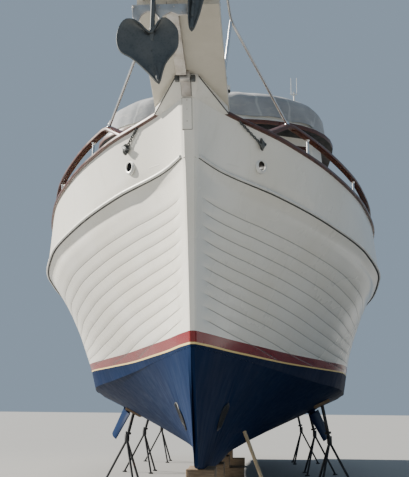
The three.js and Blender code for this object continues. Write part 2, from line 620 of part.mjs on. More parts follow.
// Hawse rings and the short chain fittings that hang above them.
for (const [name, side] of [['port', 1], ['starboard', -1]]) {
  const flange = cut(hawseRod(side, 12, 14, hawse.ringRadius, 24), hawseRod(side, 30, 30, hawse.radius - 7,
    24));
  const liner = cut(hawseRod(side, 60, 12, hawse.radius - 1, 24), hawseRod(side, 90, 30, hawse.radius - 7,
    24));
  seat(`hawse_ring_${name}`, join(flange, liner), 'steel', shell);
}

// Forward trunk cabin with its hatch
const shellThick = 45;
function trunkShell({ frontY, aftY, frontHalf, aftHalf, top, crown, lean }) {
  const ringAt = (y, half, inset) => {
    const width = half - inset;
    const low = 700;
    const high = top - inset;
    return [[width, low], [width, high - 160], [width - lean - 40, high], [0, high + crown],
      [-width + lean + 40, high], [-width, high - 160], [-width, low]].map(([x, z]) => new THREE.Vector3(x,
        y, z));
  };
  const outer = toSolid(loft([ringAt(frontY, frontHalf, 0), ringAt(aftY, aftHalf, 0)]));
  const inner = toSolid(loft([ringAt(frontY + shellThick, frontHalf, shellThick),
    ringAt(aftY - shellThick, aftHalf, shellThick)])).translate([0, 0, -1]);
  return { outer, inner };
}
const foreCabin = { frontY: 1150, aftY: 2980, frontHalf: 700, aftHalf: 1080, top: 1830, crown: 40, lean: 30 };
const foreShell = trunkShell(foreCabin);
const hatch = { y: 1700, half: 290, length: 600, thick: 45 };
const hatchHole = boxSolid([-hatch.half + 30, hatch.y + 30, 1500], [hatch.half - 30,
  hatch.y + hatch.length - 30, 2300]);
const hatchZ = foreCabin.top + foreCabin.crown + 22;
const hatchFrame = boxSolid([-hatch.half + 6, hatch.y + 6, 1790], [hatch.half - 6,
  hatch.y + hatch.length - 6, hatchZ - seatGap]);
seat('forward_cabin', cut(join(foreShell.outer, hatchFrame), foreShell.inner, hatchHole), 'gelcoat', shell);
place('forward_hatch', box([-hatch.half, hatch.y, hatchZ], [hatch.half, hatch.y + hatch.length,
  hatchZ + hatch.thick]), 'teak');

// Deckhouse. Its outline is given at three heights, from the front on the centreline to the aft corner.
const house = { frontY: 3000, aftY: 8050, half: 1620, sillZ: 2160, headZ: 3030, topZ: 3200, wall: 50,
  sideLean: 60 };
const houseOutline = (z, inset) => {
  const share = THREE.MathUtils.clamp((z - house.sillZ) / (house.topZ - house.sillZ), 0, 1);
  const front = house.frontY + 170 * share + inset;
  const half = house.half - house.sideLean * share - inset;
  const aft = house.aftY - inset;
  const plan = [[half * 0.36, front], [half * 0.9, front + 330], [half, front + 620], [half, aft]];
  return [...plan, ...plan.map(([x, y]) => [-x, y]).reverse()].map(([x, y]) => new THREE.Vector3(x, y, z));
};
const houseLevels = [900, house.sillZ, house.topZ];
const houseOuter = toSolid(loft(houseLevels.map((z) => houseOutline(z, 0)), ['x', 'y']));
const houseInner = toSolid(loft([880, house.sillZ, house.topZ + 20].map((z) => houseOutline(z,
  house.wall)), ['x', 'y']));
const sideWindows = [[5330, 6330], [6480, 7480]];
const doorway = { front: 4150, aft: 4950, low: 1225, high: 3010 };
const windowCuts = [
  boxSolid([-500, 2700, house.sillZ + 60], [500, 3500, house.headZ]),
  ...[1, -1].flatMap((side) => [
    boxSolid([Math.min(side * 640, side * 1320), 2900, house.sillZ + 60],
      [Math.max(side * 640, side * 1320), 3560, house.headZ]),
    ...sideWindows.map(([front, aft]) => boxSolid([Math.min(side * 1300, side * 1800), front, house.sillZ],
      [Math.max(side * 1300, side * 1800), aft, house.headZ])),
    boxSolid([Math.min(side * 1300, side * 1800), doorway.front, doorway.low],
      [Math.max(side * 1300, side * 1800), doorway.aft, doorway.high]),
  ]),
  boxSolid([-1150, 7800, house.sillZ + 60], [-250, 8200, house.headZ]),
  boxSolid([250, 7800, house.sillZ + 60], [1150, 8200, house.headZ]),
];
const doorTravel = 820;
const trackSpan = [doorway.front - 60, doorway.aft + doorTravel + 60];
const doorTracks = [1, -1].map((side) => {
  const edges = [side * (house.half - 20), side * (house.half + 56)];
  return boxSolid([Math.min(...edges), trackSpan[0], doorway.low - 50],
    [Math.max(...edges), trackSpan[1], doorway.low - 20 - seatGap]);
});
const houseWalls = seat('deckhouse_walls', cut(join(houseOuter, ...doorTracks), houseInner, ...windowCuts),
  'gelcoat', shell);

// Window glass lies against the inner face of the walls.
const glassThick = 8;
const glassShell = (z0, z1) => {
  const outer = toSolid(loft([z0, house.sillZ, z1].map((z) => houseOutline(z, house.wall + seatGap)), ['x',
    'y']));
  const inner = toSolid(loft([z0 - 10, house.sillZ, z1 + 10].map((z) => houseOutline(z,
    house.wall + glassThick)), ['x', 'y']));
  return cut(outer, inner);
};
const glassBand = glassShell(house.sillZ - 30, house.headZ + 30);
const glassZone = (low, high) => glassBand.intersect(boxSolid(low, high));
place('glass_front', glassZone([-1550, 2900, 2000], [1550, 3700, 3200]), 'glass');
place('glass_port', glassZone([1300, 5300, 2000], [1800, 7510, 3200]), 'glass');
place('glass_starboard', glassZone([-1800, 5300, 2000], [-1300, 7510, 3200]), 'glass');
place('glass_aft', glassZone([-1200, 7900, 2000], [1200, 8200, 3200]), 'glass');

// Sliding side doors, on tracks outside the walls.
const doorGap = 12;
for (const [name, side] of [['port', 1], ['starboard', -1]]) {
  const panel = (low, high) => loft([low, house.sillZ, high].map((z) => {
    const share = THREE.MathUtils.clamp((z - house.sillZ) / (house.topZ - house.sillZ), 0, 1);
    const x = side * (house.half - house.sideLean * share + doorGap);
    const outerX = x + side * 36;
    return [[x, doorway.front - 40], [outerX, doorway.front - 40], [outerX, doorway.aft + 40], [x,
      doorway.aft + 40]]
      .map(([px, py]) => new THREE.Vector3(px, py, z));
  }), ['x', 'y']);
  place(`side_door_${name}`, panel(doorway.low - 20, doorway.high + 40), 'teak');
}

// Deckhouse roof with rounded front, and the flybridge coaming on it.
const roof = { frontY: 2820, aftY: 8500, half: 1780, low: house.topZ + seatGap, thick: 75 };
const roundFront = (frontY, aftY, half, bow, steps = 9) => {
  const right = [];
  for (let i = 0; i <= steps; i += 1) {
    const angle = (i / steps) * Math.PI / 2;
    right.push([half * Math.sin(angle) ** 0.8, frontY + bow * (1 - Math.cos(angle) ** 0.9)]);
  }
  right.push([half, aftY]);
  const left = right.slice(1).map(([x, y]) => [-x, y]).reverse();
  return [...right, ...left];
};
place('deckhouse_roof', prism(roundFront(roof.frontY, roof.aftY, roof.half, 1350), 'z', roof.low,
  roof.low + roof.thick), 'gelcoat');

const coaming = { frontY: 2930, aftY: 7750, half: 1640, bow: 1300, wall: 60,
  low: roof.low + roof.thick + seatGap, height: 330 };
const coamingSolid = (inset, low, high) => prismSolid(
  roundFront(coaming.frontY + inset, coaming.aftY - inset, coaming.half - inset, coaming.bow), 'z', low, high);
const coamingTop = coaming.low + coaming.height;
place('flybridge_coaming', cut(coamingSolid(0, coaming.low, coamingTop), coamingSolid(coaming.wall,
  coaming.low - 10, coamingTop + 10)), 'gelcoat');

// Canvas cover over the flybridge: a shell whose levels round in towards its top.
const cover = { hemZ: coaming.low + 60, thick: 18, out: 16 };
const coverLevels = [[0, 0], [300, -6], [420, 60], [500, 220], [560, 520], [600, 980]];
const coverRing = (rise, inset, extra) => roundFront(coaming.frontY - cover.out + inset + extra,
  coaming.aftY + cover.out - inset - extra, coaming.half + cover.out - inset - extra, coaming.bow)
  .map(([x, y]) => new THREE.Vector3(x, y, cover.hemZ + rise));
const coverOuter = toSolid(loft(coverLevels.map(([rise, inset]) => coverRing(rise, inset, 0)), ['x', 'y']));
const coverInner = toSolid(loft([[-20, 0], [300, 0], [420, 60], [500, 220], [545, 520], [580, 980]]
  .map(([rise, inset]) => coverRing(rise - (rise > 0 ? cover.thick : 0), inset, cover.out - seatGap)),
    ['x', 'y']));
place('flybridge_cover', cut(coverOuter, coverInner), 'canvas');

// Searchlight on a short post at the roof's front edge
const lamp = { x: 220, y: 2868, z: 3660, radius: 42 };
const lampFoot = roof.low + roof.thick + seatGap;
place('searchlight', join(rodSolid([lamp.x, lamp.y, lampFoot], [lamp.x, lamp.y, lamp.z], 16, 10),
  rodSolid([lamp.x, lamp.y, lamp.z - 5], [lamp.x, lamp.y, lamp.z + 30], lamp.radius, 16),
  rodSolid([lamp.x, lamp.y, lamp.z + 29], [lamp.x, lamp.y, lamp.z + 120], lamp.radius - 4, 16, 30)),
    'gelcoat');

// Mast with its boom at the aft end of the roof, and the antenna pole
const mast = { y: 8150, top: 6050, radius: 62, boomZ: 4350, boomLength: 3000 };
place('mast', join(
  rodSolid([0, mast.y, lampFoot], [0, mast.y, mast.top], mast.radius, 16, 42),
  rodSolid([0, mast.y, lampFoot], [0, mast.y, lampFoot + 30], 120, 16),
  boxSolid([-30, mast.y + 40, mast.boomZ - 64], [30, mast.y + 130, mast.boomZ - 42]),
  boxSolid([-30, mast.y + 40, mast.boomZ + 42], [30, mast.y + 130, mast.boomZ + 64])), 'gelcoat');
place('boom', join(
  rodSolid([0, mast.y + 106, mast.boomZ], [0, mast.y + 100 + mast.boomLength, mast.boomZ + 420], 30, 12, 26),
  rodSolid([0, mast.y + 100, mast.boomZ - 41.5], [0, mast.y + 100, mast.boomZ + 41.5], 22, 12)), 'gelcoat');
const antenna = { x: 1500, y: 8050, top: 6050 };
place('antenna', join(
  rodSolid([antenna.x, antenna.y, lampFoot], [antenna.x, antenna.y, antenna.top], 16, 8),
  rodSolid([antenna.x, antenna.y, lampFoot], [antenna.x, antenna.y, lampFoot + 12], 46, 12),
  boxSolid([antenna.x - 70, antenna.y - 8, antenna.top - 60], [antenna.x + 70, antenna.y + 8,
    antenna.top - 44]),
  rodSolid([antenna.x - 60, antenna.y, antenna.top - 50], [antenna.x - 60, antenna.y, antenna.top + 330],
    5, 6),
  rodSolid([antenna.x + 60, antenna.y, antenna.top - 50], [antenna.x + 60, antenna.y, antenna.top + 330],
    5, 6)), 'gelcoat');

// Saloon: sole, helm with its wheel, seat, settee, and the engine below
const soleTop = sole.z;
seat('saloon_sole', boxSolid([-sole.halfWidth + 2, sole.front + 2, soleTop - 60 + seatGap],
  [sole.halfWidth - 2, sole.aft - 2, soleTop]), 'teak', [houseWalls]);
const engine = { front: 4900, length: 1700, half: 450, low: -380, high: 720 };
place('engine', box([-engine.half, engine.front, engine.low + seatGap],
  [engine.half, engine.front + engine.length, engine.high]), 'engineGreen');
const helm = { x: -620, y: 3620, half: 430, depth: 420, height: 950, wheelRadius: 330 };
place('helm_console', join(
  boxSolid([helm.x - helm.half, helm.y - 230, soleTop + seatGap], [helm.x + helm.half, helm.y + 190,
    soleTop + helm.height]),
  rodSolid([helm.x, helm.y + 190 - 5, soleTop + 820], [helm.x, helm.y + 256 - seatGap, soleTop + 820], 24,
    12)), 'teak');
const wheelCentre = [helm.x, helm.y + 290, soleTop + 820];
const spokeCount = 6;
const spokes = Array.from({ length: spokeCount }, (unused, i) => {
  const angle = i * 2 * Math.PI / spokeCount;
  return rodSolid(wheelCentre, [wheelCentre[0] + 385 * Math.cos(angle), wheelCentre[1],
    wheelCentre[2] + 385 * Math.sin(angle)], 13, 8);
});
const wheelRim = new THREE.TorusGeometry(helm.wheelRadius - 20, 18, 8, 24).rotateX(Math.PI / 2);
place('helm_wheel', join(toSolid(moved(wheelRim, ...wheelCentre)), ...spokes,
  rodSolid([helm.x, wheelCentre[1] - 34, wheelCentre[2]], [helm.x, wheelCentre[1] + 34, wheelCentre[2]],
    55, 14)), 'teak');
place('helm_seat', join(
  rodSolid([helm.x, 4780, soleTop + seatGap], [helm.x, 4780, soleTop + 620], 45, 12),
  boxSolid([helm.x - 240, 4560, soleTop + 600], [helm.x + 240, 5000, soleTop + 700]),
  boxSolid([helm.x - 240, 4940, soleTop + 690], [helm.x + 240, 5020, soleTop + 1150])), 'cushion');
place('settee', join(
  boxSolid([700, 5500, soleTop + seatGap], [1400, 7600, soleTop + 430]),
  boxSolid([1250, 5500, soleTop + 420], [1400, 7600, soleTop + 850])), 'cushion');

// Aft trunk cabin with its door
const aftCabin = { frontY: house.aftY + seatGap, aftY: 11600, frontHalf: 1560, aftHalf: 1480, top: 1960,
  crown: 50, lean: 40 };
const aftShell = trunkShell(aftCabin);
const aftDoor = { x: 0, half: 290, low: 1180, high: 1860, thick: 38 };
const aftDoorHole = boxSolid([-aftDoor.half, 11400, aftDoor.low], [aftDoor.half, 11800, aftDoor.high]);
seat('aft_cabin', cut(aftShell.outer, aftShell.inner, aftDoorHole), 'gelcoat', shell);
const doorFaceY = aftCabin.aftY + 8;
const doorHinge = { x: -aftDoor.half - 34, y: aftCabin.aftY + 9 + seatGap, radius: 9 };
const doorBarrels = [0.2, 0.8].map((share) => {
  const z = aftDoor.low + (aftDoor.high - aftDoor.low) * share;
  return join(rodSolid([doorHinge.x, doorHinge.y, z - 45], [doorHinge.x, doorHinge.y, z + 45],
    doorHinge.radius, 16),
    boxSolid([doorHinge.x, doorHinge.y - 4, z - 45], [doorHinge.x + 60, doorHinge.y + 4, z + 45]));
});
place('aft_cabin_door', join(boxSolid([-aftDoor.half - 25, doorFaceY, aftDoor.low - 20],
  [aftDoor.half + 25, doorFaceY + aftDoor.thick, aftDoor.high + 25]), ...doorBarrels), 'teak');

// Swim platform on the transom
const swim = { low: 255, thick: 60, half: 1500, depth: 620 };
const swimY = transomY(swim.low) + 1;
seat('swim_platform', join(
  boxSolid([-swim.half, swimY + 20, swim.low], [swim.half, swimY + swim.depth, swim.low + swim.thick]),
  ...[-1100, 0, 1100].map((x) => prismSolid([[transomY(-40) - 30, -40], [transomY(swim.low + 60) - 30,
    swim.low + 60],
    [swimY + 520, swim.low + 20], [swimY + 520, swim.low - 20]], 'x', x - 20, x + 20))), 'teak', shell);

// Propeller with its shaft, rudder, thruster and stabiliser fins
const shaftEnd = [0, aperture.front + 360, aperture.shaftZ];
const blade = (turn) => {
  const shape = new THREE.SphereGeometry(1, 12, 8);
  shape.scale(95, 16, 135);
  shape.rotateZ(0.5);
  shape.translate(0, 0, 165);
  shape.rotateY(turn);
  return toSolid(shape.translate(0, shaftEnd[1] - 60, aperture.shaftZ));
};
place('propeller', join(
  rodSolid([0, aperture.front + seatGap, aperture.shaftZ], shaftEnd, 27, 14),
  rodSolid([0, shaftEnd[1] - 140, aperture.shaftZ], [0, shaftEnd[1] + 30, aperture.shaftZ], 62, 16, 40),
  ...Array.from({ length: 4 }, (unused, i) => blade(i * Math.PI / 2))), 'bronze');

const rudder = { fore: 12420, aft: 13150, low: aperture.low + 12, high: -810, half: 26 };
place('rudder', join(
  prismSolid([[rudder.fore, rudder.low + 30], [rudder.fore, rudder.high - 130], [rudder.fore + 60,
    rudder.high - 45],
    [rudder.aft - 60, rudder.high - 12], [rudder.aft, rudder.high - 130], [rudder.aft - 120, rudder.low]],
  'x', -rudder.half, rudder.half),
  rodSolid([0, rudderStock.y, aperture.low + seatGap], [0, rudderStock.y, rudderStock.top],
    rudderStock.radius, 16)), 'antifouling');

seat('thruster_leg', join(
  rodSolid([0, tunnel.y, tunnel.z - 20], [0, tunnel.y, tunnel.z + tunnel.radius + 4], 22, 10),
  rodSolid([-60, tunnel.y, tunnel.z], [45, tunnel.y, tunnel.z], 34, 14)), 'bronze', shell);
const thrusterBlade = (turn) => {
  const shape = new THREE.SphereGeometry(1, 8, 6).scale(12, 34, 42).rotateZ(0.45).translate(75, 0, 62);
  return toSolid(shape.rotateX(turn).translate(0, tunnel.y, tunnel.z));
};
place('thruster_propeller', join(
  rodSolid([45 + seatGap, tunnel.y, tunnel.z], [100, tunnel.y, tunnel.z], 30, 14, 20),
  ...Array.from({ length: 4 }, (unused, i) => thrusterBlade(i * Math.PI / 2))), 'bronze');

// Each fin turns on a pin square to the bottom. It rests part turned, as fins do with the power off.
for (const [name, side] of [['port', 1], ['starboard', -1]]) {
  const { point, normal } = bottomAt(side, fin.x, fin.y);
  const foil = (chord, lead) => {
    const list = [];
    const count = 7;
    for (let i = 0; i < count; i += 1) {
      const t = i / (count - 1);
      list.push([lead + chord * t,
        0.5 * fin.thick * (chord / fin.rootChord) * Math.sqrt(t) * (1 - t) * 2.6 + 3]);
    }
    return [...list, ...list.map(([y, x]) => [y, -x]).reverse()];
  };
  const ring = (chord, lead, z) => foil(chord, lead).map(([y, x]) => new THREE.Vector3(x, y, z));
  const body = join(toSolid(loft([ring(fin.rootChord, -330, -fin.root), ring(fin.tipChord, -190,
    -fin.span)], ['x', 'y'])),
    rodSolid([0, 0, -fin.root - 20], [0, 0, -fin.bossOut - seatGap], 52, 16));
  const mesh = place(`fin_${name}`, toGeometry(body), 'antifouling');
  const down = new THREE.Vector3(0, 0, -1);
  const tilt = new THREE.Quaternion().setFromUnitVectors(down, normal);
  const turn = new THREE.Quaternion().setFromAxisAngle(down, side * fin.rest);
  mesh.quaternion.copy(tilt).multiply(turn);
  mesh.position.copy(point);
}

// Keel blocks and jack stands
const blockRows = [[1500, 0], [4400, 0], [7600, 0], [10600, 0]];
blockRows.forEach(([y], i) => {
  const keelBottom = hullCurve.keelZ(stationAt(y, -1300));
  const stack = [];
  const high = keelBottom + 6;
  const timber = (high - floorZ) / 2;
  stack.push(boxSolid([-420, y - 140, floorZ], [420, y + 140, floorZ + timber]));
  stack.push(boxSolid([-150, y - 260, floorZ + timber - 1], [150, y + 260, high]));
  seat(`keel_block_${i + 1}`, join(...stack), 'timber', shell);
});

// Stand rows: name, height of the head along the hull, and how far the foot lies outboard of it
const standRows = [
  ['port_fore', 1, 5600, 1650, 330],
  ['port_middle', 1, 8700, 1700, 330],
  ['port_aft', 1, 11700, 1650, 330],
  ['starboard_fore', -1, 5600, 1350, 300],
  ['starboard_middle', -1, 8700, 1500, 300],
  ['starboard_aft', -1, 11700, 1500, 300],
];
for (const [name, side, y, headX, outset] of standRows) {
  const { point, normal } = bottomAt(side, headX, y);
  const head = point.clone().addScaledVector(normal, 4);
  const plate = head.clone().addScaledVector(normal, 30);
  const tilt = new THREE.Quaternion().setFromUnitVectors(new THREE.Vector3(0, 0, -1), normal);
  const pad = new THREE.BoxGeometry(260, 260, 60).applyQuaternion(tilt)
    .translate(...head.clone().addScaledVector(normal, 0).toArray());
  const collar = new THREE.Vector3(side * (headX + outset * 0.35), y, floorZ + 780);
  const parts = [toSolid(pad), rodSolid(plate.clone().addScaledVector(normal, -4).toArray(),
    collar.toArray(), 24, 10),
    rodSolid([collar.x, y, collar.z - 60], [collar.x, y, collar.z + 60], 40, 10)];
  for (let i = 0; i < 3; i += 1) {
    const angle = i * 2 * Math.PI / 3 + (side > 0 ? 0 : Math.PI);
    const foot = [collar.x + 380 * Math.cos(angle), y + 380 * Math.sin(angle), floorZ + 22];
    parts.push(rodSolid([collar.x, y, collar.z - 30], foot, 20, 8));
    parts.push(rodSolid([foot[0], foot[1], floorZ], [foot[0], foot[1], floorZ + 24], 45, 10));
  }
  seat(`jack_stand_${name}`, join(...parts), 'standPaint', shell);
}

// The whole part stands on the floor with its plan centred on the origin.
const extent = new THREE.Box3().setFromObject(boat, true);
boat.position.set(0, -(extent.min.y + extent.max.y) / 2, -extent.min.z);

const part = new THREE.Group();
part.add(boat);
part.updateMatrixWorld(true);

export default part;
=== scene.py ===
import json
import math
import bmesh
import bpy
from mathutils import Matrix, Vector, noise
from mathutils.bvhtree import BVHTree


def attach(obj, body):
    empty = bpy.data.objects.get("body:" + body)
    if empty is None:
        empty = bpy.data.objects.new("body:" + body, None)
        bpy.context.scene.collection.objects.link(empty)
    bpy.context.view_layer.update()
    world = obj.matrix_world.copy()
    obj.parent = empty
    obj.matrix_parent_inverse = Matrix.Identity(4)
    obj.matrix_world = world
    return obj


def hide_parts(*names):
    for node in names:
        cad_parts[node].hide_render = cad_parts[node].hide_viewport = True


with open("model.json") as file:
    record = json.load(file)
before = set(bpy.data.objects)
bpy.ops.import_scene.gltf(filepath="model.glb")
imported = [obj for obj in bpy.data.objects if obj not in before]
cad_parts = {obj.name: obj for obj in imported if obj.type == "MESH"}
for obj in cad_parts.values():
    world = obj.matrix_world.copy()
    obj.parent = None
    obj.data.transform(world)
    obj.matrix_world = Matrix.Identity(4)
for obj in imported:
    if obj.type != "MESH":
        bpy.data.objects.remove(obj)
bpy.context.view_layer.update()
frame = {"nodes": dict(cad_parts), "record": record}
nodes = frame["nodes"]
print("frame loaded")

# What goes through boatPoint, hullPoint or mm is in millimetres, aft of the stem and above the boot stripe's
# lower edge. Every other length is in metres, in the frame that all the pieces share.
mm = 0.001
boatShift = Vector((0.0, -6.0508, 1.8))

camera = {
    "place": (0.4712, -12.2974, 1.2313),
    "pitch": 13.398,
    "yaw": -3.435,
    "roll": 0.540,
    "focalPixels": 717.56,
    "imageWidth": 409.0,
    "sensor": 36.0,
    "farthest": 400.0,
}

light = {
    "sunFrom": (-0.85, 0.16, 0.48),
    "sunStrength": 13.0,
    "sunColor": (1.0, 0.94, 0.84),
    "sunAngle": 1.5,
    "fillStrength": 20.0,
    "fillPlace": (9.0, -13.0, 4.0),
    "fillTarget": (0.0, -3.0, 2.0),
    "fillSize": 8.0,
    "worldColor": (0.62, 0.80, 1.0),
    "worldStrength": 0.42,
}


def addCamera():
    pitch = math.radians(camera["pitch"])
    yaw = math.radians(camera["yaw"])
    roll = math.radians(camera["roll"])
    forward = Vector((math.sin(yaw) * math.cos(pitch), math.cos(yaw) * math.cos(pitch), math.sin(pitch)))
    level = forward.cross(Vector((0, 0, 1))).normalized()
    upright = level.cross(forward)
    right = level * math.cos(roll) + upright * math.sin(roll)
    up = upright * math.cos(roll) - level * math.sin(roll)
    turn = Matrix((right, up, -forward)).transposed().to_4x4()
    data = bpy.data.cameras.new("photoCamera")
    data.sensor_fit = "HORIZONTAL"
    data.sensor_width = camera["sensor"]
    data.lens = camera["focalPixels"] / camera["imageWidth"] * camera["sensor"]
    data.clip_end = camera["farthest"]
    holder = bpy.data.objects.new("photoCamera", data)
    bpy.context.scene.collection.objects.link(holder)
    holder.matrix_world = Matrix.Translation(Vector(camera["place"])) @ turn
    bpy.context.scene.camera = holder


def addLight(name, kind, strength, place, towards):
    data = bpy.data.lights.new(name, kind)
    data.energy = strength
    holder = bpy.data.objects.new(name, data)
    holder.location = place
    holder.rotation_euler = towards.to_track_quat("Z", "Y").to_euler()
    bpy.context.scene.collection.objects.link(holder)
    return data


def addLights():
    sun = addLight("keySun", "SUN", light["sunStrength"], (0, 0, 0), Vector(light["sunFrom"]))
    sun.color = light["sunColor"]
    sun.angle = math.radians(light["sunAngle"])
    towards = Vector(light["fillPlace"]) - Vector(light["fillTarget"])
    fill = addLight("fillPanel", "AREA", light["fillStrength"], light["fillPlace"], towards)
    fill.size = light["fillSize"]
    world = bpy.data.worlds.new("studio")
    world.use_nodes = True
    background = world.node_tree.nodes["Background"]
    background.inputs["Color"].default_value = (*light["worldColor"], 1)
    background.inputs["Strength"].default_value = light["worldStrength"]
    bpy.context.scene.world = world


# Shader helpers


def newMaterial(name, roughness=0.5, metallic=0.0):
    material = bpy.data.materials.new(name)
    material.use_nodes = True
    tree = material.node_tree
    surface = tree.nodes["Principled BSDF"]
    surface.inputs["Roughness"].default_value = roughness
    surface.inputs["Metallic"].default_value = metallic
    return material, tree, surface


def setSocket(tree, socket, value):
    if isinstance(value, bpy.types.NodeSocket):
        tree.links.new(value, socket)
    else:
        socket.default_value = value


def setInput(tree, surface, name, value):
    setSocket(tree, surface.inputs[name], value)


def shaderNode(tree, kind, settings=None, inputs=None):
    made = tree.nodes.new(kind)
    for key, value in (settings or {}).items():
        setattr(made, key, value)
    for key, value in (inputs or {}).items():
        setSocket(tree, made.inputs[key], value)
    return made


def objectCoordinates(tree, stretch=(1, 1, 1), shift=(0, 0, 0)):
    source = shaderNode(tree, "ShaderNodeTexCoord")
    mapping = shaderNode(tree, "ShaderNodeMapping", None, {
        "Vector": source.outputs["Object"], "Scale": stretch, "Location": shift})
    return mapping.outputs["Vector"]


def noiseValue(tree, where, size, detail=4.0, roughness=0.5):
    made = shaderNode(tree, "ShaderNodeTexNoise", None, {
        "Vector": where, "Scale": size, "Detail": detail, "Roughness": roughness})
    return made.outputs["Fac"]


def steppedRamp(tree, value, stops):
    # Plain steps, each colour from its own position upwards
    made = shaderNode(tree, "ShaderNodeValToRGB", None, {"Fac": value})
    steps = made.color_ramp
    steps.interpolation = "CONSTANT"
    while len(steps.elements) > 1:
        steps.elements.remove(steps.elements[0])
    steps.elements[0].position = stops[0][0]
    steps.elements[0].color = (*stops[0][1], 1)
    for position, color in stops[1:]:
        steps.elements.new(position).color = (*color, 1)
    return made.outputs["Color"]


def mixColors(tree, amount, first, second):
    made = shaderNode(tree, "ShaderNodeMix", {"data_type": "RGBA"}, {"Factor": amount})
    for key, value in ((6, first), (7, second)):
        setSocket(tree, made.inputs[key], value if isinstance(value, bpy.types.NodeSocket) else (*value, 1))
    return made.outputs[2]


def maths(tree, operation, *values):
    made = shaderNode(tree, "ShaderNodeMath", {"operation": operation}, dict(enumerate(values)))
    return made.outputs["Value"]


def remap(tree, value, low, high, newLow, newHigh):
    made = shaderNode(tree, "ShaderNodeMapRange", None, {
        "Value": value, "From Min": low, "From Max": high, "To Min": newLow, "To Max": newHigh})
    return made.outputs["Result"]


def shadeBy(tree, value, low, high, amount, first, second):
    # From the first colour towards the second as the value rises from low to high
    return mixColors(tree, remap(tree, value, low, high, 0, amount), first, second)


def bump(tree, surface, height, strength, distance):
    settings = {"Height": height, "Strength": strength, "Distance": distance}
    made = shaderNode(tree, "ShaderNodeBump", None, settings)
    tree.links.new(made.outputs["Normal"], surface.inputs["Normal"])


def weaveValue(tree, threads, fineness):
    # Two sets of threads, each running along two axes added or subtracted
    waves = [maths(tree, "SINE", maths(tree, "MULTIPLY", maths(tree, way, first, second), fineness))
        for way, first, second in threads]
    return maths(tree, "MULTIPLY", *waves)


# Finishes

paint = {
    "white": (0.80, 0.79, 0.74),
    "whiteWarm": (0.74, 0.72, 0.65),
    "whiteStreak": (0.55, 0.53, 0.47),
    # seam: painted shade, the dark inside the scribed plank grooves
    "seam": (0.16, 0.15, 0.13),
    "stripeRed": (0.19, 0.006, 0.009),
    "pinstripe": (0.78, 0.60, 0.26),
    "navy": (0.0035, 0.012, 0.042),
    "navyPale": (0.006, 0.019, 0.060),
    "navyStreak": (0.006, 0.016, 0.042),
    "stripeTop": 1.895,
    "stripeLow": 1.800,
    "pinstripeLow": 1.783,
    "heightLow": 1.70,
    "heightHigh": 2.00,
}

tones = {
    "gelDirt": (0.42, 0.40, 0.34),
    "varnishWear": (0.11, 0.045, 0.024),
    "boardDark": (0.20, 0.15, 0.10),
    "boardPale": (0.36, 0.29, 0.21),
    "boardGrey": (0.42, 0.36, 0.29),
    "caulking": (0.012, 0.012, 0.012),
    "zincDark": (0.070, 0.078, 0.080),
    "zincPale": (0.155, 0.163, 0.162),
    "zincSpangle": (0.19, 0.20, 0.20),
    "zincRust": (0.17, 0.13, 0.09),
    "canvasDark": (0.20, 0.215, 0.235),
    "canvasPale": (0.33, 0.35, 0.375),
    "canvasDust": (0.45, 0.45, 0.43),
    "canvasCrease": (0.52, 0.54, 0.55),
    "clothDark": (0.23, 0.17, 0.10),
    "clothPale": (0.34, 0.27, 0.18),
    "clothThread": (0.42, 0.35, 0.25),
    "glassDeep": (0.16, 0.19, 0.20),
    "glassPale": (0.24, 0.28, 0.29),
    "timberStain": (0.07, 0.055, 0.045),
}

deckBoard = {"width": 0.058, "caulkShare": 0.09}


def bandPosition(height):
    return (height - paint["heightLow"]) / (paint["heightHigh"] - paint["heightLow"])


def makeHullPaint(name="hullPaint", specular=0.5):
    material, tree, surface = newMaterial(name, 0.3)
    setInput(tree, surface, "Specular IOR Level", specular)
    where = objectCoordinates(tree)
    split = shaderNode(tree, "ShaderNodeSeparateXYZ", None, {"Vector": where})
    height = remap(tree, split.outputs["Z"], paint["heightLow"], paint["heightHigh"], 0, 1)
    cloud = noiseValue(tree, where, 1.3, 6)
    streaks = noiseValue(tree, objectCoordinates(tree, (5, 5, 0.5)), 2.2, 5, 0.6)
    white = shadeBy(tree, cloud, 0.35, 0.7, 1, paint["white"], paint["whiteWarm"])
    white = shadeBy(tree, streaks, 0.55, 0.8, 0.25, white, paint["whiteStreak"])
    navy = shadeBy(tree, cloud, 0.3, 0.75, 1, paint["navy"], paint["navyPale"])
    navy = shadeBy(tree, streaks, 0.6, 0.85, 0.1, navy, paint["navyStreak"])
    black, full = (0, 0, 0), (1, 1, 1)
    above = steppedRamp(tree, height, [(0, black), (bandPosition(paint["pinstripeLow"]), full)])
    bands = steppedRamp(tree, height, [
        (0, paint["pinstripe"]), (bandPosition(paint["stripeLow"]), paint["stripeRed"])])
    topside = steppedRamp(tree, height, [(0, black), (bandPosition(paint["stripeTop"]), full)])
    color = mixColors(tree, topside, bands, white)
    color = mixColors(tree, above, navy, color)
    # The scribed plank grooves are darkened toward the seam colour: painted shade in the grooves, over the
    # modelled groove
    seam = shaderNode(tree, "ShaderNodeAttribute", {"attribute_name": "plankSeam"})
    color = shadeBy(tree, seam.outputs["Fac"], 0.1, 0.8, 0.72, color, paint["seam"])
    setInput(tree, surface, "Base Color", color)
    aboveValue = maths(tree, "GREATER_THAN", split.outputs["Z"], paint["pinstripeLow"])
    gloss = remap(tree, cloud, 0.3, 0.8, 0.2, 0.34)
    matt = remap(tree, streaks, 0.3, 0.8, 0.42, 0.62)
    rough = shaderNode(tree, "ShaderNodeMix", None, {"Factor": aboveValue})
    tree.links.new(matt, rough.inputs[2])
    tree.links.new(gloss, rough.inputs[3])
    tree.links.new(rough.outputs[0], surface.inputs["Roughness"])
    bump(tree, surface, noiseValue(tree, where, 14, 3), 0.05, 0.01)
    return material


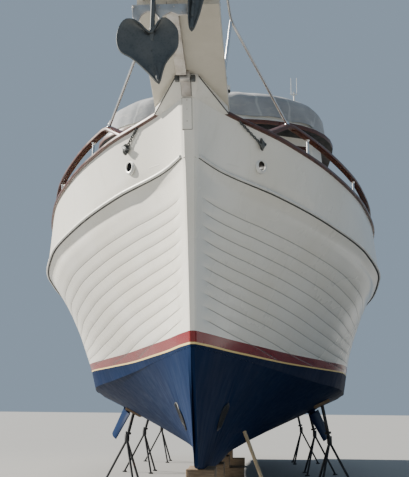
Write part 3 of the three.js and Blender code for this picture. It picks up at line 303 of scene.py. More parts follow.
def makeGelcoat(name="gelcoat", color=(0.78, 0.77, 0.72), shade=(0.66, 0.64, 0.58), roughness=(0.25, 0.42)):
    material, tree, surface = newMaterial(name)
    where = objectCoordinates(tree)
    cloud = noiseValue(tree, where, 2.5, 7, 0.6)
    dirt = noiseValue(tree, objectCoordinates(tree, (9, 9, 1.2)), 3.0, 5, 0.65)
    base = shadeBy(tree, cloud, 0.35, 0.7, 1, color, shade)
    base = shadeBy(tree, dirt, 0.58, 0.8, 0.3, base, tones["gelDirt"])
    setInput(tree, surface, "Base Color", base)
    setInput(tree, surface, "Roughness", remap(tree, cloud, 0.3, 0.8, *roughness))
    bump(tree, surface, noiseValue(tree, where, 60, 3), 0.06, 0.004)
    return material


def makeVarnish(name="varnishedTeak", dark=(0.034, 0.009, 0.005), pale=(0.100, 0.026, 0.012), roughness=0.32):
    material, tree, surface = newMaterial(name, roughness)
    where = objectCoordinates(tree, (12, 1.2, 12))
    grain = noiseValue(tree, where, 3.0, 8, 0.65)
    wear = noiseValue(tree, objectCoordinates(tree), 5.0, 5, 0.6)
    color = shadeBy(tree, grain, 0.3, 0.72, 1, dark, pale)
    color = shadeBy(tree, wear, 0.6, 0.8, 0.3, color, tones["varnishWear"])
    setInput(tree, surface, "Base Color", color)
    setInput(tree, surface, "Roughness", remap(tree, wear, 0.35, 0.75, roughness * 0.8, roughness * 1.6))
    setInput(tree, surface, "Coat Weight", 0.18)
    setInput(tree, surface, "Coat Roughness", 0.12)
    bump(tree, surface, grain, 0.06, 0.002)
    return material


def makeDeckTeak():
    material, tree, surface = newMaterial("deckTeak", 0.7)
    where = objectCoordinates(tree)
    split = shaderNode(tree, "ShaderNodeSeparateXYZ", None, {"Vector": where})
    across = maths(tree, "MULTIPLY", split.outputs["X"], 1 / deckBoard["width"])
    plank = maths(tree, "FRACT", across)
    seam = maths(tree, "LESS_THAN", plank, deckBoard["caulkShare"])
    board = maths(tree, "FLOOR", across)
    tone = shaderNode(tree, "ShaderNodeTexWhiteNoise", {"noise_dimensions": "1D"}, {"W": board})
    grain = noiseValue(tree, objectCoordinates(tree, (40, 2.5, 40)), 3.0, 7, 0.6)
    color = shadeBy(tree, grain, 0.3, 0.7, 1, tones["boardDark"], tones["boardPale"])
    color = shadeBy(tree, tone.outputs["Value"], 0, 1, 0.35, color, tones["boardGrey"])
    color = mixColors(tree, seam, color, tones["caulking"])
    setInput(tree, surface, "Base Color", color)
    bump(tree, surface, maths(tree, "SUBTRACT", grain, seam), 0.35, 0.003)
    return material


def makeMetal(name, color, shade, roughness, grainScale=(3, 3, 90), metallic=1.0):
    material, tree, surface = newMaterial(name, roughness, metallic)
    cloud = noiseValue(tree, objectCoordinates(tree), 7.0, 5, 0.6)
    lines = noiseValue(tree, objectCoordinates(tree, grainScale), 4.0, 3, 0.6)
    setInput(tree, surface, "Base Color", shadeBy(tree, cloud, 0.35, 0.7, 1, color, shade))
    setInput(tree, surface, "Roughness", remap(tree, lines, 0.3, 0.75, roughness * 0.7, roughness * 1.5))
    bump(tree, surface, lines, 0.08, 0.001)
    return material


def makeGalvanised():
    material, tree, surface = newMaterial("galvanised", 0.5, 0.75)
    where = objectCoordinates(tree)
    spangle = shaderNode(tree, "ShaderNodeTexVoronoi", None, {"Vector": where, "Scale": 60.0})
    blotch = noiseValue(tree, where, 6.0, 8, 0.65)
    color = shadeBy(tree, blotch, 0.35, 0.68, 1, tones["zincDark"], tones["zincPale"])
    color = shadeBy(tree, spangle.outputs["Distance"], 0, 0.6, 0.3, color, tones["zincSpangle"])
    rust = noiseValue(tree, objectCoordinates(tree, (1, 1, 1), (3, 1, 2)), 3.5, 9, 0.7)
    color = shadeBy(tree, rust, 0.62, 0.74, 0.6, color, tones["zincRust"])
    setInput(tree, surface, "Base Color", color)
    setInput(tree, surface, "Roughness", remap(tree, blotch, 0.3, 0.75, 0.42, 0.7))
    bump(tree, surface, blotch, 0.25, 0.004)
    return material


def makeCanvas():
    material, tree, surface = newMaterial("canvas", 0.92)
    where = objectCoordinates(tree)
    split = shaderNode(tree, "ShaderNodeSeparateXYZ", None, {"Vector": where})
    x, y, z = split.outputs
    weave = weaveValue(tree, (("ADD", y, x), ("SUBTRACT", z, x)), 900)
    fade = noiseValue(tree, where, 1.6, 7, 0.6)
    dust = noiseValue(tree, objectCoordinates(tree, (2, 2, 6)), 3.0, 6, 0.6)
    color = shadeBy(tree, fade, 0.3, 0.7, 1, tones["canvasDark"], tones["canvasPale"])
    color = shadeBy(tree, dust, 0.52, 0.75, 0.45, color, tones["canvasDust"])
    # Thin lighter lines along the folds: a painted highlight where the creases catch the light. The same lines
    # also raise the bump
    creaseHighlight = noiseValue(tree, objectCoordinates(tree, (1.0, 1.4, 0.7), (4, 2, 7)), 1.3, 3, 0.45)
    creaseHighlight = maths(tree, "ABSOLUTE", maths(tree, "SUBTRACT", creaseHighlight, 0.5))
    creaseHighlight = remap(tree, creaseHighlight, 0.0, 0.022, 1, 0)
    color = mixColors(tree, maths(tree, "MULTIPLY", creaseHighlight, 0.5), color, tones["canvasCrease"])
    dust = maths(tree, "ADD", dust, creaseHighlight)
    setInput(tree, surface, "Base Color", color)
    setInput(tree, surface, "Sheen Weight", 0.25)
    setInput(tree, surface, "Sheen Roughness", 0.5)
    bump(tree, surface, maths(tree, "ADD", maths(tree, "MULTIPLY", weave, 0.4), dust), 0.35, 0.003)
    return material


def makeUpholstery():
    material, tree, surface = newMaterial("upholstery", 0.9)
    where = objectCoordinates(tree)
    split = shaderNode(tree, "ShaderNodeSeparateXYZ", None, {"Vector": where})
    x, y, z = split.outputs
    weave = weaveValue(tree, (("ADD", x, z), ("SUBTRACT", y, z)), 1400)
    cloud = noiseValue(tree, where, 6, 6, 0.6)
    color = shadeBy(tree, cloud, 0.3, 0.7, 1, tones["clothDark"], tones["clothPale"])
    setInput(tree, surface, "Base Color", shadeBy(tree, weave, -1, 1, 0.3, color, tones["clothThread"]))
    setInput(tree, surface, "Sheen Weight", 0.3)
    bump(tree, surface, weave, 0.4, 0.0015)
    return material


def makeGlass():
    material, tree, surface = newMaterial("windowGlass", 0.04)
    cloud = noiseValue(tree, objectCoordinates(tree), 3, 4)
    setInput(tree, surface, "Base Color", mixColors(tree, cloud, tones["glassDeep"], tones["glassPale"]))
    setInput(tree, surface, "Transmission Weight", 0.75)
    setInput(tree, surface, "Roughness", remap(tree, cloud, 0.3, 0.8, 0.02, 0.07))
    return material


def makeTimber(name="timber", dark=(0.13, 0.085, 0.05), pale=(0.30, 0.22, 0.14), stretch=(3, 30, 30)):
    material, tree, surface = newMaterial(name, 0.85)
    grain = noiseValue(tree, objectCoordinates(tree, stretch), 2.5, 9, 0.7)
    stain = noiseValue(tree, objectCoordinates(tree), 4, 6, 0.6)
    color = shadeBy(tree, grain, 0.3, 0.72, 1, dark, pale)
    color = shadeBy(tree, stain, 0.5, 0.75, 0.6, color, tones["timberStain"])
    setInput(tree, surface, "Base Color", color)
    bump(tree, surface, grain, 0.6, 0.006)
    return material


def makeWornPaint(name, color, worn, rust=(0.14, 0.06, 0.03)):
    material, tree, surface = newMaterial(name, 0.5, 0.1)
    where = objectCoordinates(tree)
    scuff = noiseValue(tree, where, 9, 9, 0.7)
    patch = noiseValue(tree, where, 3.0, 7, 0.65)
    base = shadeBy(tree, patch, 0.35, 0.7, 1, color, worn)
    base = shadeBy(tree, scuff, 0.6, 0.72, 0.8, base, rust)
    setInput(tree, surface, "Base Color", base)
    setInput(tree, surface, "Roughness", remap(tree, scuff, 0.3, 0.8, 0.35, 0.8))
    bump(tree, surface, scuff, 0.3, 0.003)
    return material


finish = {
    "hullPaint": makeHullPaint(),
    "bottomPaint": makeHullPaint("bottomPaint", 0.03),
    "gelcoat": makeGelcoat(),
    # The pulpit slab takes a darker, warmer copy of the gelcoat: painted shade for its shaded underside
    "slabShade": makeGelcoat("slabGelcoat", (0.62, 0.58, 0.49), (0.52, 0.48, 0.40)),
    "varnish": makeVarnish(),
    "deckTeak": makeDeckTeak(),
    "swimTeak": makeVarnish("swimTeak", (0.12, 0.07, 0.035), (0.30, 0.20, 0.12), 0.6),
    "steel": makeMetal("stainless", (0.72, 0.73, 0.75), (0.60, 0.61, 0.62), 0.2),
    "stripSteel": makeMetal("stripSteel", (0.78, 0.78, 0.75), (0.66, 0.66, 0.63), 0.45, (20, 20, 20), 0.3),
    "wornSteel": makeMetal("weatheredSteel", (0.62, 0.60, 0.58), (0.42, 0.38, 0.34), 0.42, (20, 20, 20)),
    "galvanised": makeGalvanised(),
    "canvas": makeCanvas(),
    "upholstery": makeUpholstery(),
    "glass": makeGlass(),
    "bronze": makeMetal("bronze", (0.42, 0.26, 0.11), (0.20, 0.17, 0.10), 0.4, (8, 8, 8)),
    "antifouling": makeHullPaint("antifouling", 0.03),
    "timber": makeTimber(),
    "paleTimber": makeTimber("paleTimber", (0.42, 0.33, 0.20), (0.66, 0.55, 0.38), (20, 20, 3)),
    "standPaint": makeWornPaint("standPaint", (0.018, 0.020, 0.024), (0.04, 0.042, 0.045)),
    "enginePaint": makeWornPaint("enginePaint", (0.03, 0.09, 0.055), (0.05, 0.12, 0.08)),
    "rubber": makeWornPaint("blackRubber", (0.012, 0.012, 0.013), (0.03, 0.03, 0.03), (0.05, 0.05, 0.05)),
    # Near-black paint: the tunnel grilles' own colour, and painted shade inside the hawse bores, under the
    # roof's overhang and on the port light panes
    "darkPane": makeWornPaint("darkPane", (0.006, 0.007, 0.009), (0.012, 0.014, 0.017), (0.010, 0.011, 0.013)),
    "mastPaint": makeGelcoat("mastPaint", (0.72, 0.71, 0.68), (0.62, 0.61, 0.58), (0.3, 0.5)),
}
# The slots of the finishes that aren't named as their slot is
finishSlot = {
    "hullPaint": "gelcoat", "slabShade": "gelcoat", "mastPaint": "gelcoat", "varnish": "teak",
    "swimTeak": "teak", "stripSteel": "steel", "wornSteel": "steel", "rubber": "steel", "darkPane": "glass",
    "upholstery": "cushion", "paleTimber": "timber", "standPaint": "stand_paint", "enginePaint": "engine_paint",
}
print("finishes made")


# Modelling helpers


def between(low, high, share):
    return low + (high - low) * share


def up(height):
    return Vector((0, 0, height))


def turns(count):
    return [2 * math.pi * step / count for step in range(count)]


def deselectAll():
    if bpy.context.object and bpy.context.object.mode != "OBJECT":
        bpy.ops.object.mode_set(mode="OBJECT")
    bpy.ops.object.select_all(action="DESELECT")


def makeActive(piece):
    deselectAll()
    piece.select_set(True)
    bpy.context.view_layer.objects.active = piece


def startEdit(piece):
    # Into edit mode with the whole mesh selected
    makeActive(piece)
    bpy.ops.object.mode_set(mode="EDIT")
    bpy.ops.mesh.select_all(action="SELECT")


def endEdit():
    bpy.ops.object.mode_set(mode="OBJECT")


def mergeClose(piece, distance):
    startEdit(piece)
    bpy.ops.mesh.remove_doubles(threshold=distance)
    endEdit()


def flipFaces(piece):
    startEdit(piece)
    bpy.ops.mesh.flip_normals()
    endEdit()


def outwardFaces(piece):
    startEdit(piece)
    bpy.ops.mesh.normals_make_consistent(inside=False)
    endEdit()


def linkNew(name, data):
    made = bpy.data.objects.new(name, data)
    bpy.context.scene.collection.objects.link(made)
    return made


def applyPlace(piece):
    makeActive(piece)
    bpy.ops.object.transform_apply(location=True, rotation=True, scale=True)


def applyModifiers(piece):
    makeActive(piece)
    for modifier in list(piece.modifiers):
        bpy.ops.object.modifier_apply(modifier=modifier.name)


def bevelEdges(piece, width, segments=2, angle=35):
    makeActive(piece)
    modifier = piece.modifiers.new("softEdges", "BEVEL")
    modifier.width = width
    modifier.segments = segments
    modifier.limit_method = "ANGLE"
    modifier.angle_limit = math.radians(angle)
    bpy.ops.object.modifier_apply(modifier=modifier.name)


def smoothPiece(piece, angle):
    makeActive(piece)
    bpy.ops.object.shade_smooth_by_angle(angle=math.radians(angle))


def finishPiece(piece, name, material, body="boat", slot=None, replaces=(), angle=40):
    # One piece, or a list that is joined first
    if isinstance(piece, list):
        piece = joinPieces(piece)
    applyPlace(piece)
    applyModifiers(piece)
    smoothPiece(piece, angle)
    piece.name = name
    piece.data.materials.clear()
    piece.data.materials.append(finish[material])
    slot = slot or finishSlot.get(material, material)
    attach(piece, body)
    if replaces:
        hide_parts(*replaces)
    return piece


def joinPieces(pieces):
    deselectAll()
    for piece in pieces:
        piece.select_set(True)
    bpy.context.view_layer.objects.active = pieces[0]
    if len(pieces) > 1:
        bpy.ops.object.join()
    return bpy.context.object


def boxPiece(low, high, edge=0.004, segments=2):
    deselectAll()
    middle = [(a + b) / 2 for a, b in zip(low, high)]
    bpy.ops.mesh.primitive_cube_add(size=1, location=middle, scale=[b - a for a, b in zip(low, high)])
    piece = bpy.context.object
    applyPlace(piece)
    bevelEdges(piece, edge, segments)
    return piece


def rodPiece(start, end, radius, sides=16):
    deselectAll()
    start, end = Vector(start), Vector(end)
    bpy.ops.mesh.primitive_cone_add(vertices=sides, radius1=radius, radius2=radius,
        depth=(end - start).length, location=(start + end) / 2)
    piece = bpy.context.object
    piece.rotation_mode = "QUATERNION"
    piece.rotation_quaternion = (end - start).to_track_quat("Z", "Y")
    applyPlace(piece)
    return piece


def tubePiece(points, radius, sides=10, bend=0.0, cyclic=False):
    deselectAll()
    curve = bpy.data.curves.new("tubePath", "CURVE")
    curve.dimensions = "3D"
    curve.bevel_depth = radius
    curve.bevel_resolution = max(1, sides // 4)
    curve.use_fill_caps = True
    spline = curve.splines.new("POLY")
    path = roundedPath(points, bend, cyclic) if bend else [Vector(p) for p in points]
    spline.points.add(len(path) - 1)
    for point, place in zip(spline.points, path):
        point.co = (*place, 1)
    spline.use_cyclic_u = cyclic
    makeActive(linkNew("tubePath", curve))
    bpy.ops.object.convert(target="MESH")
    return bpy.context.object


def roundedPath(points, bend, cyclic=False, steps=6):
    points = [Vector(p) for p in points]
    count = len(points)
    path = []
    for index, point in enumerate(points):
        if not cyclic and index in (0, count - 1):
            path.append(point)
            continue
        before, after = points[index - 1], points[(index + 1) % count]
        back, ahead = before - point, after - point
        reach = min(bend, back.length * 0.45, ahead.length * 0.45)
        start, end = point + back.normalized() * reach, point + ahead.normalized() * reach
        for step in range(steps + 1):
            t = step / steps
            path.append(start * (1 - t) ** 2 + point * 2 * t * (1 - t) + end * t ** 2)
    return path


def nodeCopy(*names):
    copies = []
    for name in names:
        deselectAll()
        source = nodes[name]
        piece = source.copy()
        piece.data = source.data.copy()
        piece.parent = None
        bpy.context.scene.collection.objects.link(piece)
        piece.matrix_world = source.matrix_world.copy()
        piece.hide_set(False)
        copies.append(piece)
    piece = joinPieces(copies)
    applyPlace(piece)
    mergeClose(piece, 0.00003)
    return piece


def platePiece(outline, axis, low, high, edge=0.0, segments=2):
    # An outline in two axes becomes a plate between two values on the third axis
    deselectAll()
    others = [index for index in range(3) if index != axis]
    mesh = bpy.data.meshes.new("plate")
    build = bmesh.new()
    ring = []
    for first, second in outline:
        place = [0.0, 0.0, 0.0]
        place[axis] = low
        place[others[0]], place[others[1]] = first, second
        ring.append(build.verts.new(place))
    build.faces.new(ring)
    build.to_mesh(mesh)
    build.free()
    piece = linkNew("plate", mesh)
    startEdit(piece)
    push = [0.0, 0.0, 0.0]
    push[axis] = high - low
    bpy.ops.mesh.extrude_region_move(TRANSFORM_OT_translate={"value": push})
    outwardFaces(piece)
    if edge:
        bevelEdges(piece, edge, segments)
    return piece


def loftPiece(rings, caps=True):
    # Rings of equal count, each a closed section, become one closed skin
    deselectAll()
    columns, rows = len(rings), len(rings[0])
    bpy.ops.mesh.primitive_grid_add(x_subdivisions=columns - 1, y_subdivisions=rows, size=2)
    piece = bpy.context.object
    for vertex in piece.data.vertices:
        column = round((vertex.co.x + 1) / 2 * (columns - 1))
        row = round((vertex.co.y + 1) / 2 * rows) % rows
        vertex.co = rings[column][row]
    mergeClose(piece, 0.00001)
    if caps:
        startEdit(piece)
        bpy.ops.mesh.fill_holes(sides=0)
    outwardFaces(piece)
    return piece


def roundedSection(corners, radius, steps=3):
    # Corners of a convex outline, each rounded by its own or a common radius
    path = []
    count = len(corners)
    for index, corner in enumerate(corners):
        reach = radius[index] if isinstance(radius, (list, tuple)) else radius
        point = Vector(corner)
        back = Vector(corners[index - 1]) - point
        ahead = Vector(corners[(index + 1) % count]) - point
        start = point + back.normalized() * min(reach, back.length * 0.48)
        end = point + ahead.normalized() * min(reach, ahead.length * 0.48)
        for step in range(steps + 1):
            t = step / steps
            path.append(tuple(start * (1 - t) ** 2 + point * 2 * t * (1 - t) + end * t ** 2))
    return path


def onCircle(radius, degrees):
    return radius * math.cos(math.radians(degrees)), radius * math.sin(math.radians(degrees))


def squareTo(axis, angles):
    # Directions square to an axis, one for each angle
    side = axis.orthogonal().normalized()
    other = axis.cross(side)
    return [side * math.cos(angle) + other * math.sin(angle) for angle in angles]


def spunPiece(profile, start, end, sides=24):
    # A profile of [share along, radius] pairs is turned about the line from start to end
    start, end = Vector(start), Vector(end)
    spokes = squareTo((end - start).normalized(), turns(sides))
    rings = []
    for share, radius in profile:
        middle = start + (end - start) * share
        rings.append([middle + spoke * radius for spoke in spokes])
    return loftPiece(rings)


def ringPiece(profile, start, axis, depth, sides):
    # A closed profile of [share of the depth, radius] pairs makes a ring that is open in the middle
    rings = [[start + axis * (depth * share) + spoke * radius for share, radius in profile]
        for spoke in squareTo(axis, turns(sides))]
    return loftPiece(rings + [rings[0]], caps=False)


def boltHead(place, towards, radius=0.008, height=0.005):
    towards = Vector(towards).normalized()
    place = Vector(place)
    sunk = 0.002
    return spunPiece([(0, radius), (0.55, radius), (0.85, radius * 0.75), (1, radius * 0.3)],
        place - towards * sunk, place + towards * height, 8)


def boltCircle(centre, axis, reach, lift, radius, height):
    # Six bolts round a flange
    return [boltHead(centre + spoke * reach + axis * lift, axis, radius, height)
        for spoke in squareTo(axis, [math.pi / 6 + angle for angle in turns(6)])]


def footBolts(centre, reach, angles, radius, height):
    # Upright bolts through a level foot
    spots = [centre + Vector((math.cos(angle), math.sin(angle), 0)) * reach for angle in angles]
    return [boltHead(spot, (0, 0, 1), radius, height) for spot in spots]


# Hull shape

# Distances aft of the stem, half breadths and heights, as the hull's solid has them
hullShape = {
    "s": (0, 300, 850, 1650, 2650, 3800, 5100, 6900, 9300, 11600, 12900, 13000, 13600),
    "capHalf": (54, 296, 829, 1389, 1868, 2182, 2300, 2318, 2300, 2222, 2142, 2134, 2086),
    "capZ": (1940, 1920, 1880, 1833, 1787, 1747, 1722, 1702, 1702, 1730, 1752, 1754, 1760),
    "knuckleHalf": (50, 238, 772, 1364, 1920, 2268, 2368, 2368, 2345, 2262, 2182, 2174, 2126),
    "knuckleZ": (1509, 1481, 1425, 1356, 1270, 1172, 1088, 1034, 1042, 1072, 1100, 1102, 1114),
    "stripeHalf": (24, 137, 300, 575, 925, 1436, 1965, 2190, 2210, 2140, 2048, 2040, 1988),
    "chineHalf": (22, 128, 284, 545, 885, 1378, 1905, 2155, 2185, 2110, 2018, 2010, 1958),
    "chineZ": (-30, -32, -42, -62, -105, -175, -245, -305, -335, -335, -325, -324, -318),
}

hullSkin = {
    "length": 13600,
    "transomInset": 40,
    "stemCurve": 0.00021,
    "cornerRound": 9,
    "stemRake": 0.39,
    "transomRake": 0.12,
    "rollDrop": 125,
    "rollShare": 0.16,
    "rollDepth": 96,
    "hollowDepth": 46,
    "hollowFade": 2200,
    "hollowShare": 0.08,
    "stripLow": 15,
    "firstSeam": 294,
    "seamStep": 110,
    "seamCount": 10,
    "seamHalf": 6,
    "seamDepth": 5,
    "seamStart": 85,
    "seamFade": 60,
    "lowestSeam": 2,
    "belowStrip": (180, 235),
    "stripRows": 8,
    "flareDrop": -0.12,
    "thickness": 0.006,
    "hawseStation": 655,
    "hawseHeight": 1622,
    "hawseRadius": 0.048,
    "hawseReach": 220,
}


def makeCurve(name):
    xs, ys = hullShape["s"], hullShape[name]
    slopes = [(ys[i + 1] - ys[i]) / (xs[i + 1] - xs[i]) for i in range(len(xs) - 1)]
    tangents = [slopes[0]]
    for before, after in zip(slopes, slopes[1:]):
        tangents.append(0 if before * after <= 0 else 2 * before * after / (before + after))
    tangents.append(slopes[-1])

    def valueAt(s):
        i = 0
        while i < len(xs) - 2 and s > xs[i + 1]:
            i += 1
        width = xs[i + 1] - xs[i]
        t = (s - xs[i]) / width
        return (ys[i] * (2 * t ** 3 - 3 * t ** 2 + 1) + tangents[i] * width * (t ** 3 - 2 * t ** 2 + t)
            + ys[i + 1] * (3 * t ** 2 - 2 * t ** 3) + tangents[i + 1] * width * (t ** 3 - t ** 2))

    return valueAt


hullCurve = {name: makeCurve(name) for name in hullShape if name != "s"}


def curvesAt(s):
    return {name: curve(s) for name, curve in hullCurve.items()}


def stemY(z):
    # Straight above the boot stripe, curving aft to the keel below it
    return -hullSkin["stemRake"] * z + (0 if z > 0 else hullSkin["stemCurve"] * z * z)


def transomY(z):
    return hullSkin["length"] - hullSkin["transomInset"] + hullSkin["transomRake"] * z


def boatPoint(x, y, z):
    return Vector((x, y, z)) * mm + boatShift


def hullPoint(s, half, z):
    return boatPoint(half, between(stemY(z), transomY(z), s / hullSkin["length"]), z)


def edgeSlope(halfAt, s, reach=150):
    return (halfAt(min(s + reach, hullSkin["length"])) - halfAt(max(s - reach, 0))) / (2 * reach)


def bulwarkHalf(s, z):
    at = curvesAt(s)
    return between(at["knuckleHalf"], at["capHalf"], (z - at["knuckleZ"]) / (at["capZ"] - at["knuckleZ"]))


def bulwarkFrame(side, s, z, reach=150):
    # A point on the bulwark's outside and the direction square to it
    slope = edgeSlope(hullCurve["capHalf"], s, reach)
    return hullPoint(s, side * bulwarkHalf(s, z), z), Vector((side, -slope, hullSkin["flareDrop"])).normalized()


def skinRows(s):
    # Rows of half breadth, height and seam amount, from the cap down to just under the chine
    at = curvesAt(s)
    rollDepth = min(at["knuckleHalf"] * hullSkin["rollShare"], hullSkin["rollDepth"])
    knuckleZ, knuckleHalf = at["knuckleZ"], at["knuckleHalf"]
    rollZ = knuckleZ - hullSkin["rollDrop"]
    rollHalf = knuckleHalf - rollDepth
    hollow = hullSkin["hollowDepth"] * math.exp(-s / hullSkin["hollowFade"])
    hollow = min(hollow, at["stripeHalf"] * hullSkin["hollowShare"])

    def flank(z):
        share = 1 - z / rollZ
        return between(rollHalf, at["stripeHalf"], share) - hollow * math.sin(math.pi * share)

    rows = []
    for share in (0, 0.25, 0.5, 0.75, 1):
        rows.append((between(at["capHalf"], knuckleHalf, share), between(at["capZ"], knuckleZ, share), 0))
    low = hullSkin["stripLow"]
    for step in range(hullSkin["stripRows"]):
        t = step / (hullSkin["stripRows"] - 1)
        rows.append((knuckleHalf - rollDepth * (0.16 + 0.84 * math.sin(math.pi / 2 * t) ** 1.15),
            knuckleZ - low - (hullSkin["rollDrop"] - low) * t, 0))
    for offset in hullSkin["belowStrip"]:
        rows.append((flank(knuckleZ - offset), knuckleZ - offset, 0))
    for index in range(hullSkin["seamCount"]):
        middle = knuckleZ - hullSkin["firstSeam"] - hullSkin["seamStep"] * index
        edge = hullSkin["seamHalf"]
        for offset, seam in ((edge, 0), (0, 1), (-edge, 0), (-hullSkin["seamStep"] / 2, 0)):
            z = middle + offset
            # rows that would fall below the stripe's lower edge gather closely above it
            lowest = hullSkin["lowestSeam"] + 0.6 * (hullSkin["seamCount"] * 4 - len(rows) + 16)
            if z < lowest:
                z, seam = lowest, 0
            half = flank(z)
            cut = seam * min(1, max(0, (half - hullSkin["seamStart"]) / hullSkin["seamFade"]))
            rows.append((half - hullSkin["seamDepth"] * cut, z, cut))
    rows.append((at["stripeHalf"], 0, 0))
    for share in (0.5, 1):
        rows.append((between(at["stripeHalf"], at["chineHalf"], share), at["chineZ"] * share, 0))
    rows.append((at["chineHalf"] - 2, at["chineZ"] - 10, 0))
    return rows


def skinStations():
    stations = [0, 16, 40, 70, 110, 160, 220, 290, 370, 460, 560, 670, 790, 920, 1060, 1210, 1370, 1540]
    while stations[-1] < 4000:
        stations.append(stations[-1] + 180)
    while stations[-1] < 13300:
        stations.append(stations[-1] + 300)
    return stations + [hullSkin["length"]]


def makeHullSkin():
    stations = skinStations()
    stemColumns = (-0.86, -0.4, 0.0, 0.4, 0.86)
    columns = [(-1, s) for s in reversed(stations)] + [(0, share) for share in stemColumns]
    columns += [(1, s) for s in stations]
    rowsAt = {s: skinRows(s) for s in stations}
    rowCount = len(rowsAt[0])
    deselectAll()
    bpy.ops.mesh.primitive_grid_add(x_subdivisions=len(columns) - 1, y_subdivisions=rowCount - 1, size=2)
    skin = bpy.context.object
    # Each groove's bottom row is marked, and the hull paint darkens it there as painted shade
    seams = skin.data.attributes.new("plankSeam", "FLOAT", "POINT")
    amounts = [0.0] * len(skin.data.vertices)
    corner = hullSkin["cornerRound"] * mm
    for vertex in skin.data.vertices:
        column = round((vertex.co.x + 1) / 2 * (len(columns) - 1))
        row = rowCount - 1 - round((vertex.co.y + 1) / 2 * (rowCount - 1))
        side, where = columns[column]
        if side == 0:
            half, z, cut = rowsAt[0][row]
            place = hullPoint(0, half * where, z)
            if abs(where) > 0.5:
                place.y += 0.15 * corner
        else:
            half, z, cut = rowsAt[where][row]
            place = hullPoint(where, side * half, z)
            if where == 0:
                place.y += corner
                place.x -= side * 0.05 * half * mm
        vertex.co = place
        amounts[vertex.index] = cut
    seams.data.foreach_set("value", amounts)
    flipFaces(skin)
    return skin


def facesOutwards(skin):
    face = max(skin.data.polygons, key=lambda polygon: polygon.center.x)
    return face.normal.x > 0


def hawseFrame(side):
    return bulwarkFrame(side, hullSkin["hawseStation"], hullSkin["hawseHeight"], hullSkin["hawseReach"])


topsides = makeHullSkin()
if not facesOutwards(topsides):
    flipFaces(topsides)
wall = topsides.modifiers.new("wall", "SOLIDIFY")
wall.thickness = hullSkin["thickness"]
wall.offset = -1
applyModifiers(topsides)
for side in (1, -1):
    centre, normal = hawseFrame(side)
    cutter = rodPiece(centre - normal * 0.12, centre + normal * 0.12, hullSkin["hawseRadius"] - 0.002, 32)
    makeActive(topsides)
    hole = topsides.modifiers.new("hawseHole", "BOOLEAN")
    hole.operation = "DIFFERENCE"
    hole.object = cutter
    bpy.ops.object.modifier_apply(modifier="hawseHole")
    bpy.data.objects.remove(cutter)
finishPiece(topsides, "hullTopsides", "hullPaint", angle=30)


def paintBottom(piece):
    # The flat antifouling starts at the boot stripe
    piece.data.materials.append(finish["bottomPaint"])
    for polygon in piece.data.polygons:
        if polygon.center.z < boatShift.z - 0.001:
            polygon.material_index = len(piece.data.materials) - 1


paintBottom(topsides)


def outerSideFace(centre, normal):
    # True for the faces of the hull's solid that the planked skin takes the place of
    place = (centre - boatShift) / mm
    if normal.z > 0.7:
        return False
    share = (place.y - stemY(place.z)) / (transomY(place.z) - stemY(place.z))
    s = min(max(share, 0), 1) * hullSkin["length"]
    at = curvesAt(s)
    if place.z < at["chineZ"] - 5:
        return False
    if s < 3:
        return True
    if s > hullSkin["length"] - 3:
        return False
    if place.z > at["knuckleZ"]:
        half = bulwarkHalf(s, place.z)
    else:
        share = max(0, min(1, place.z / at["knuckleZ"]))
        half = min(between(at["stripeHalf"], at["knuckleHalf"], share), at["knuckleHalf"])
        return abs(place.x) > half * 0.86 - 60 and normal.x * place.x > 0 and abs(normal.x) > 0.2
    return abs(place.x) > half - 55 and normal.x * place.x > 0


hullBody = nodeCopy("hull", "bulwark_port", "bulwark_starboard")
for polygon in hullBody.data.polygons:
    polygon.select = outerSideFace(polygon.center, polygon.normal)
makeActive(hullBody)
bpy.context.tool_settings.mesh_select_mode = (False, False, True)  # face mode keeps the selection as it is
bpy.ops.object.mode_set(mode="EDIT")
bpy.ops.mesh.delete(type="FACE")
endEdit()
bpy.context.tool_settings.mesh_select_mode = (True, False, False)
finishPiece(hullBody, "hullBody", "hullPaint",
    replaces=("hull", "bulwark_port", "bulwark_starboard"), angle=24)
hullBody.data.materials.append(finish["deckTeak"])
decks = {"lowest": 2.7, "highest": 3.35}
for polygon in hullBody.data.polygons:
    if polygon.normal.z > 0.9 and decks["lowest"] < polygon.center.z < decks["highest"]:
        polygon.material_index = 1
paintBottom(hullBody)
print("hull made")

# Rub strip, cap rail and handrail

bands = {
    "stepFine": 90,
    "stepCoarse": 260,
    "fineUntil": 4200,
    "endReach": 34,
    "clearance": 25,
    "transomReach": 20,
}


def bandStations(start, marks=()):
    stations = [start]
    while stations[-1] < hullSkin["length"]:
        step = bands["stepFine"] if stations[-1] < bands["fineUntil"] else bands["stepCoarse"]
        stations.append(min(stations[-1] + step, hullSkin["length"]))
    kept = [s for s in stations if all(abs(s - mark) > bands["clearance"] for mark in marks)]
    return sorted(set(kept) | set(marks))


def bandPiece(halfName, heightName, section, start, lift=lambda s: 0, marks=()):
    # A section of [out, rise] offsets follows one edge of the hull on both sides and closes across the transom
    halfAt, heightAt = hullCurve[halfName], hullCurve[heightName]
    pieces = []
    for side in (1, -1):
        rings = []
        for s in bandStations(start, marks):
            widen = math.hypot(1, edgeSlope(halfAt, s))
            ring = []
            for out, rise in section:
                place = hullPoint(s, halfAt(s) + out * widen, heightAt(s))
                ring.append(Vector((side * place.x, place.y, place.z + (rise + lift(s)) * mm)))
            rings.append(ring)
        rings.append([place + Vector((0, bands["endReach"] * mm, 0)) for place in rings[-1]])
        pieces.append(loftPiece(rings))
    length = hullSkin["length"]
    height = heightAt(length)
    edge = transomY(height)
    outline = [boatPoint(0, edge + out, height + rise + lift(length)).yz for out, rise in section]
    reach = (halfAt(length) + bands["transomReach"]) * mm
    pieces.append(platePiece(outline, 0, -reach, reach))
    return joinPieces(pieces)


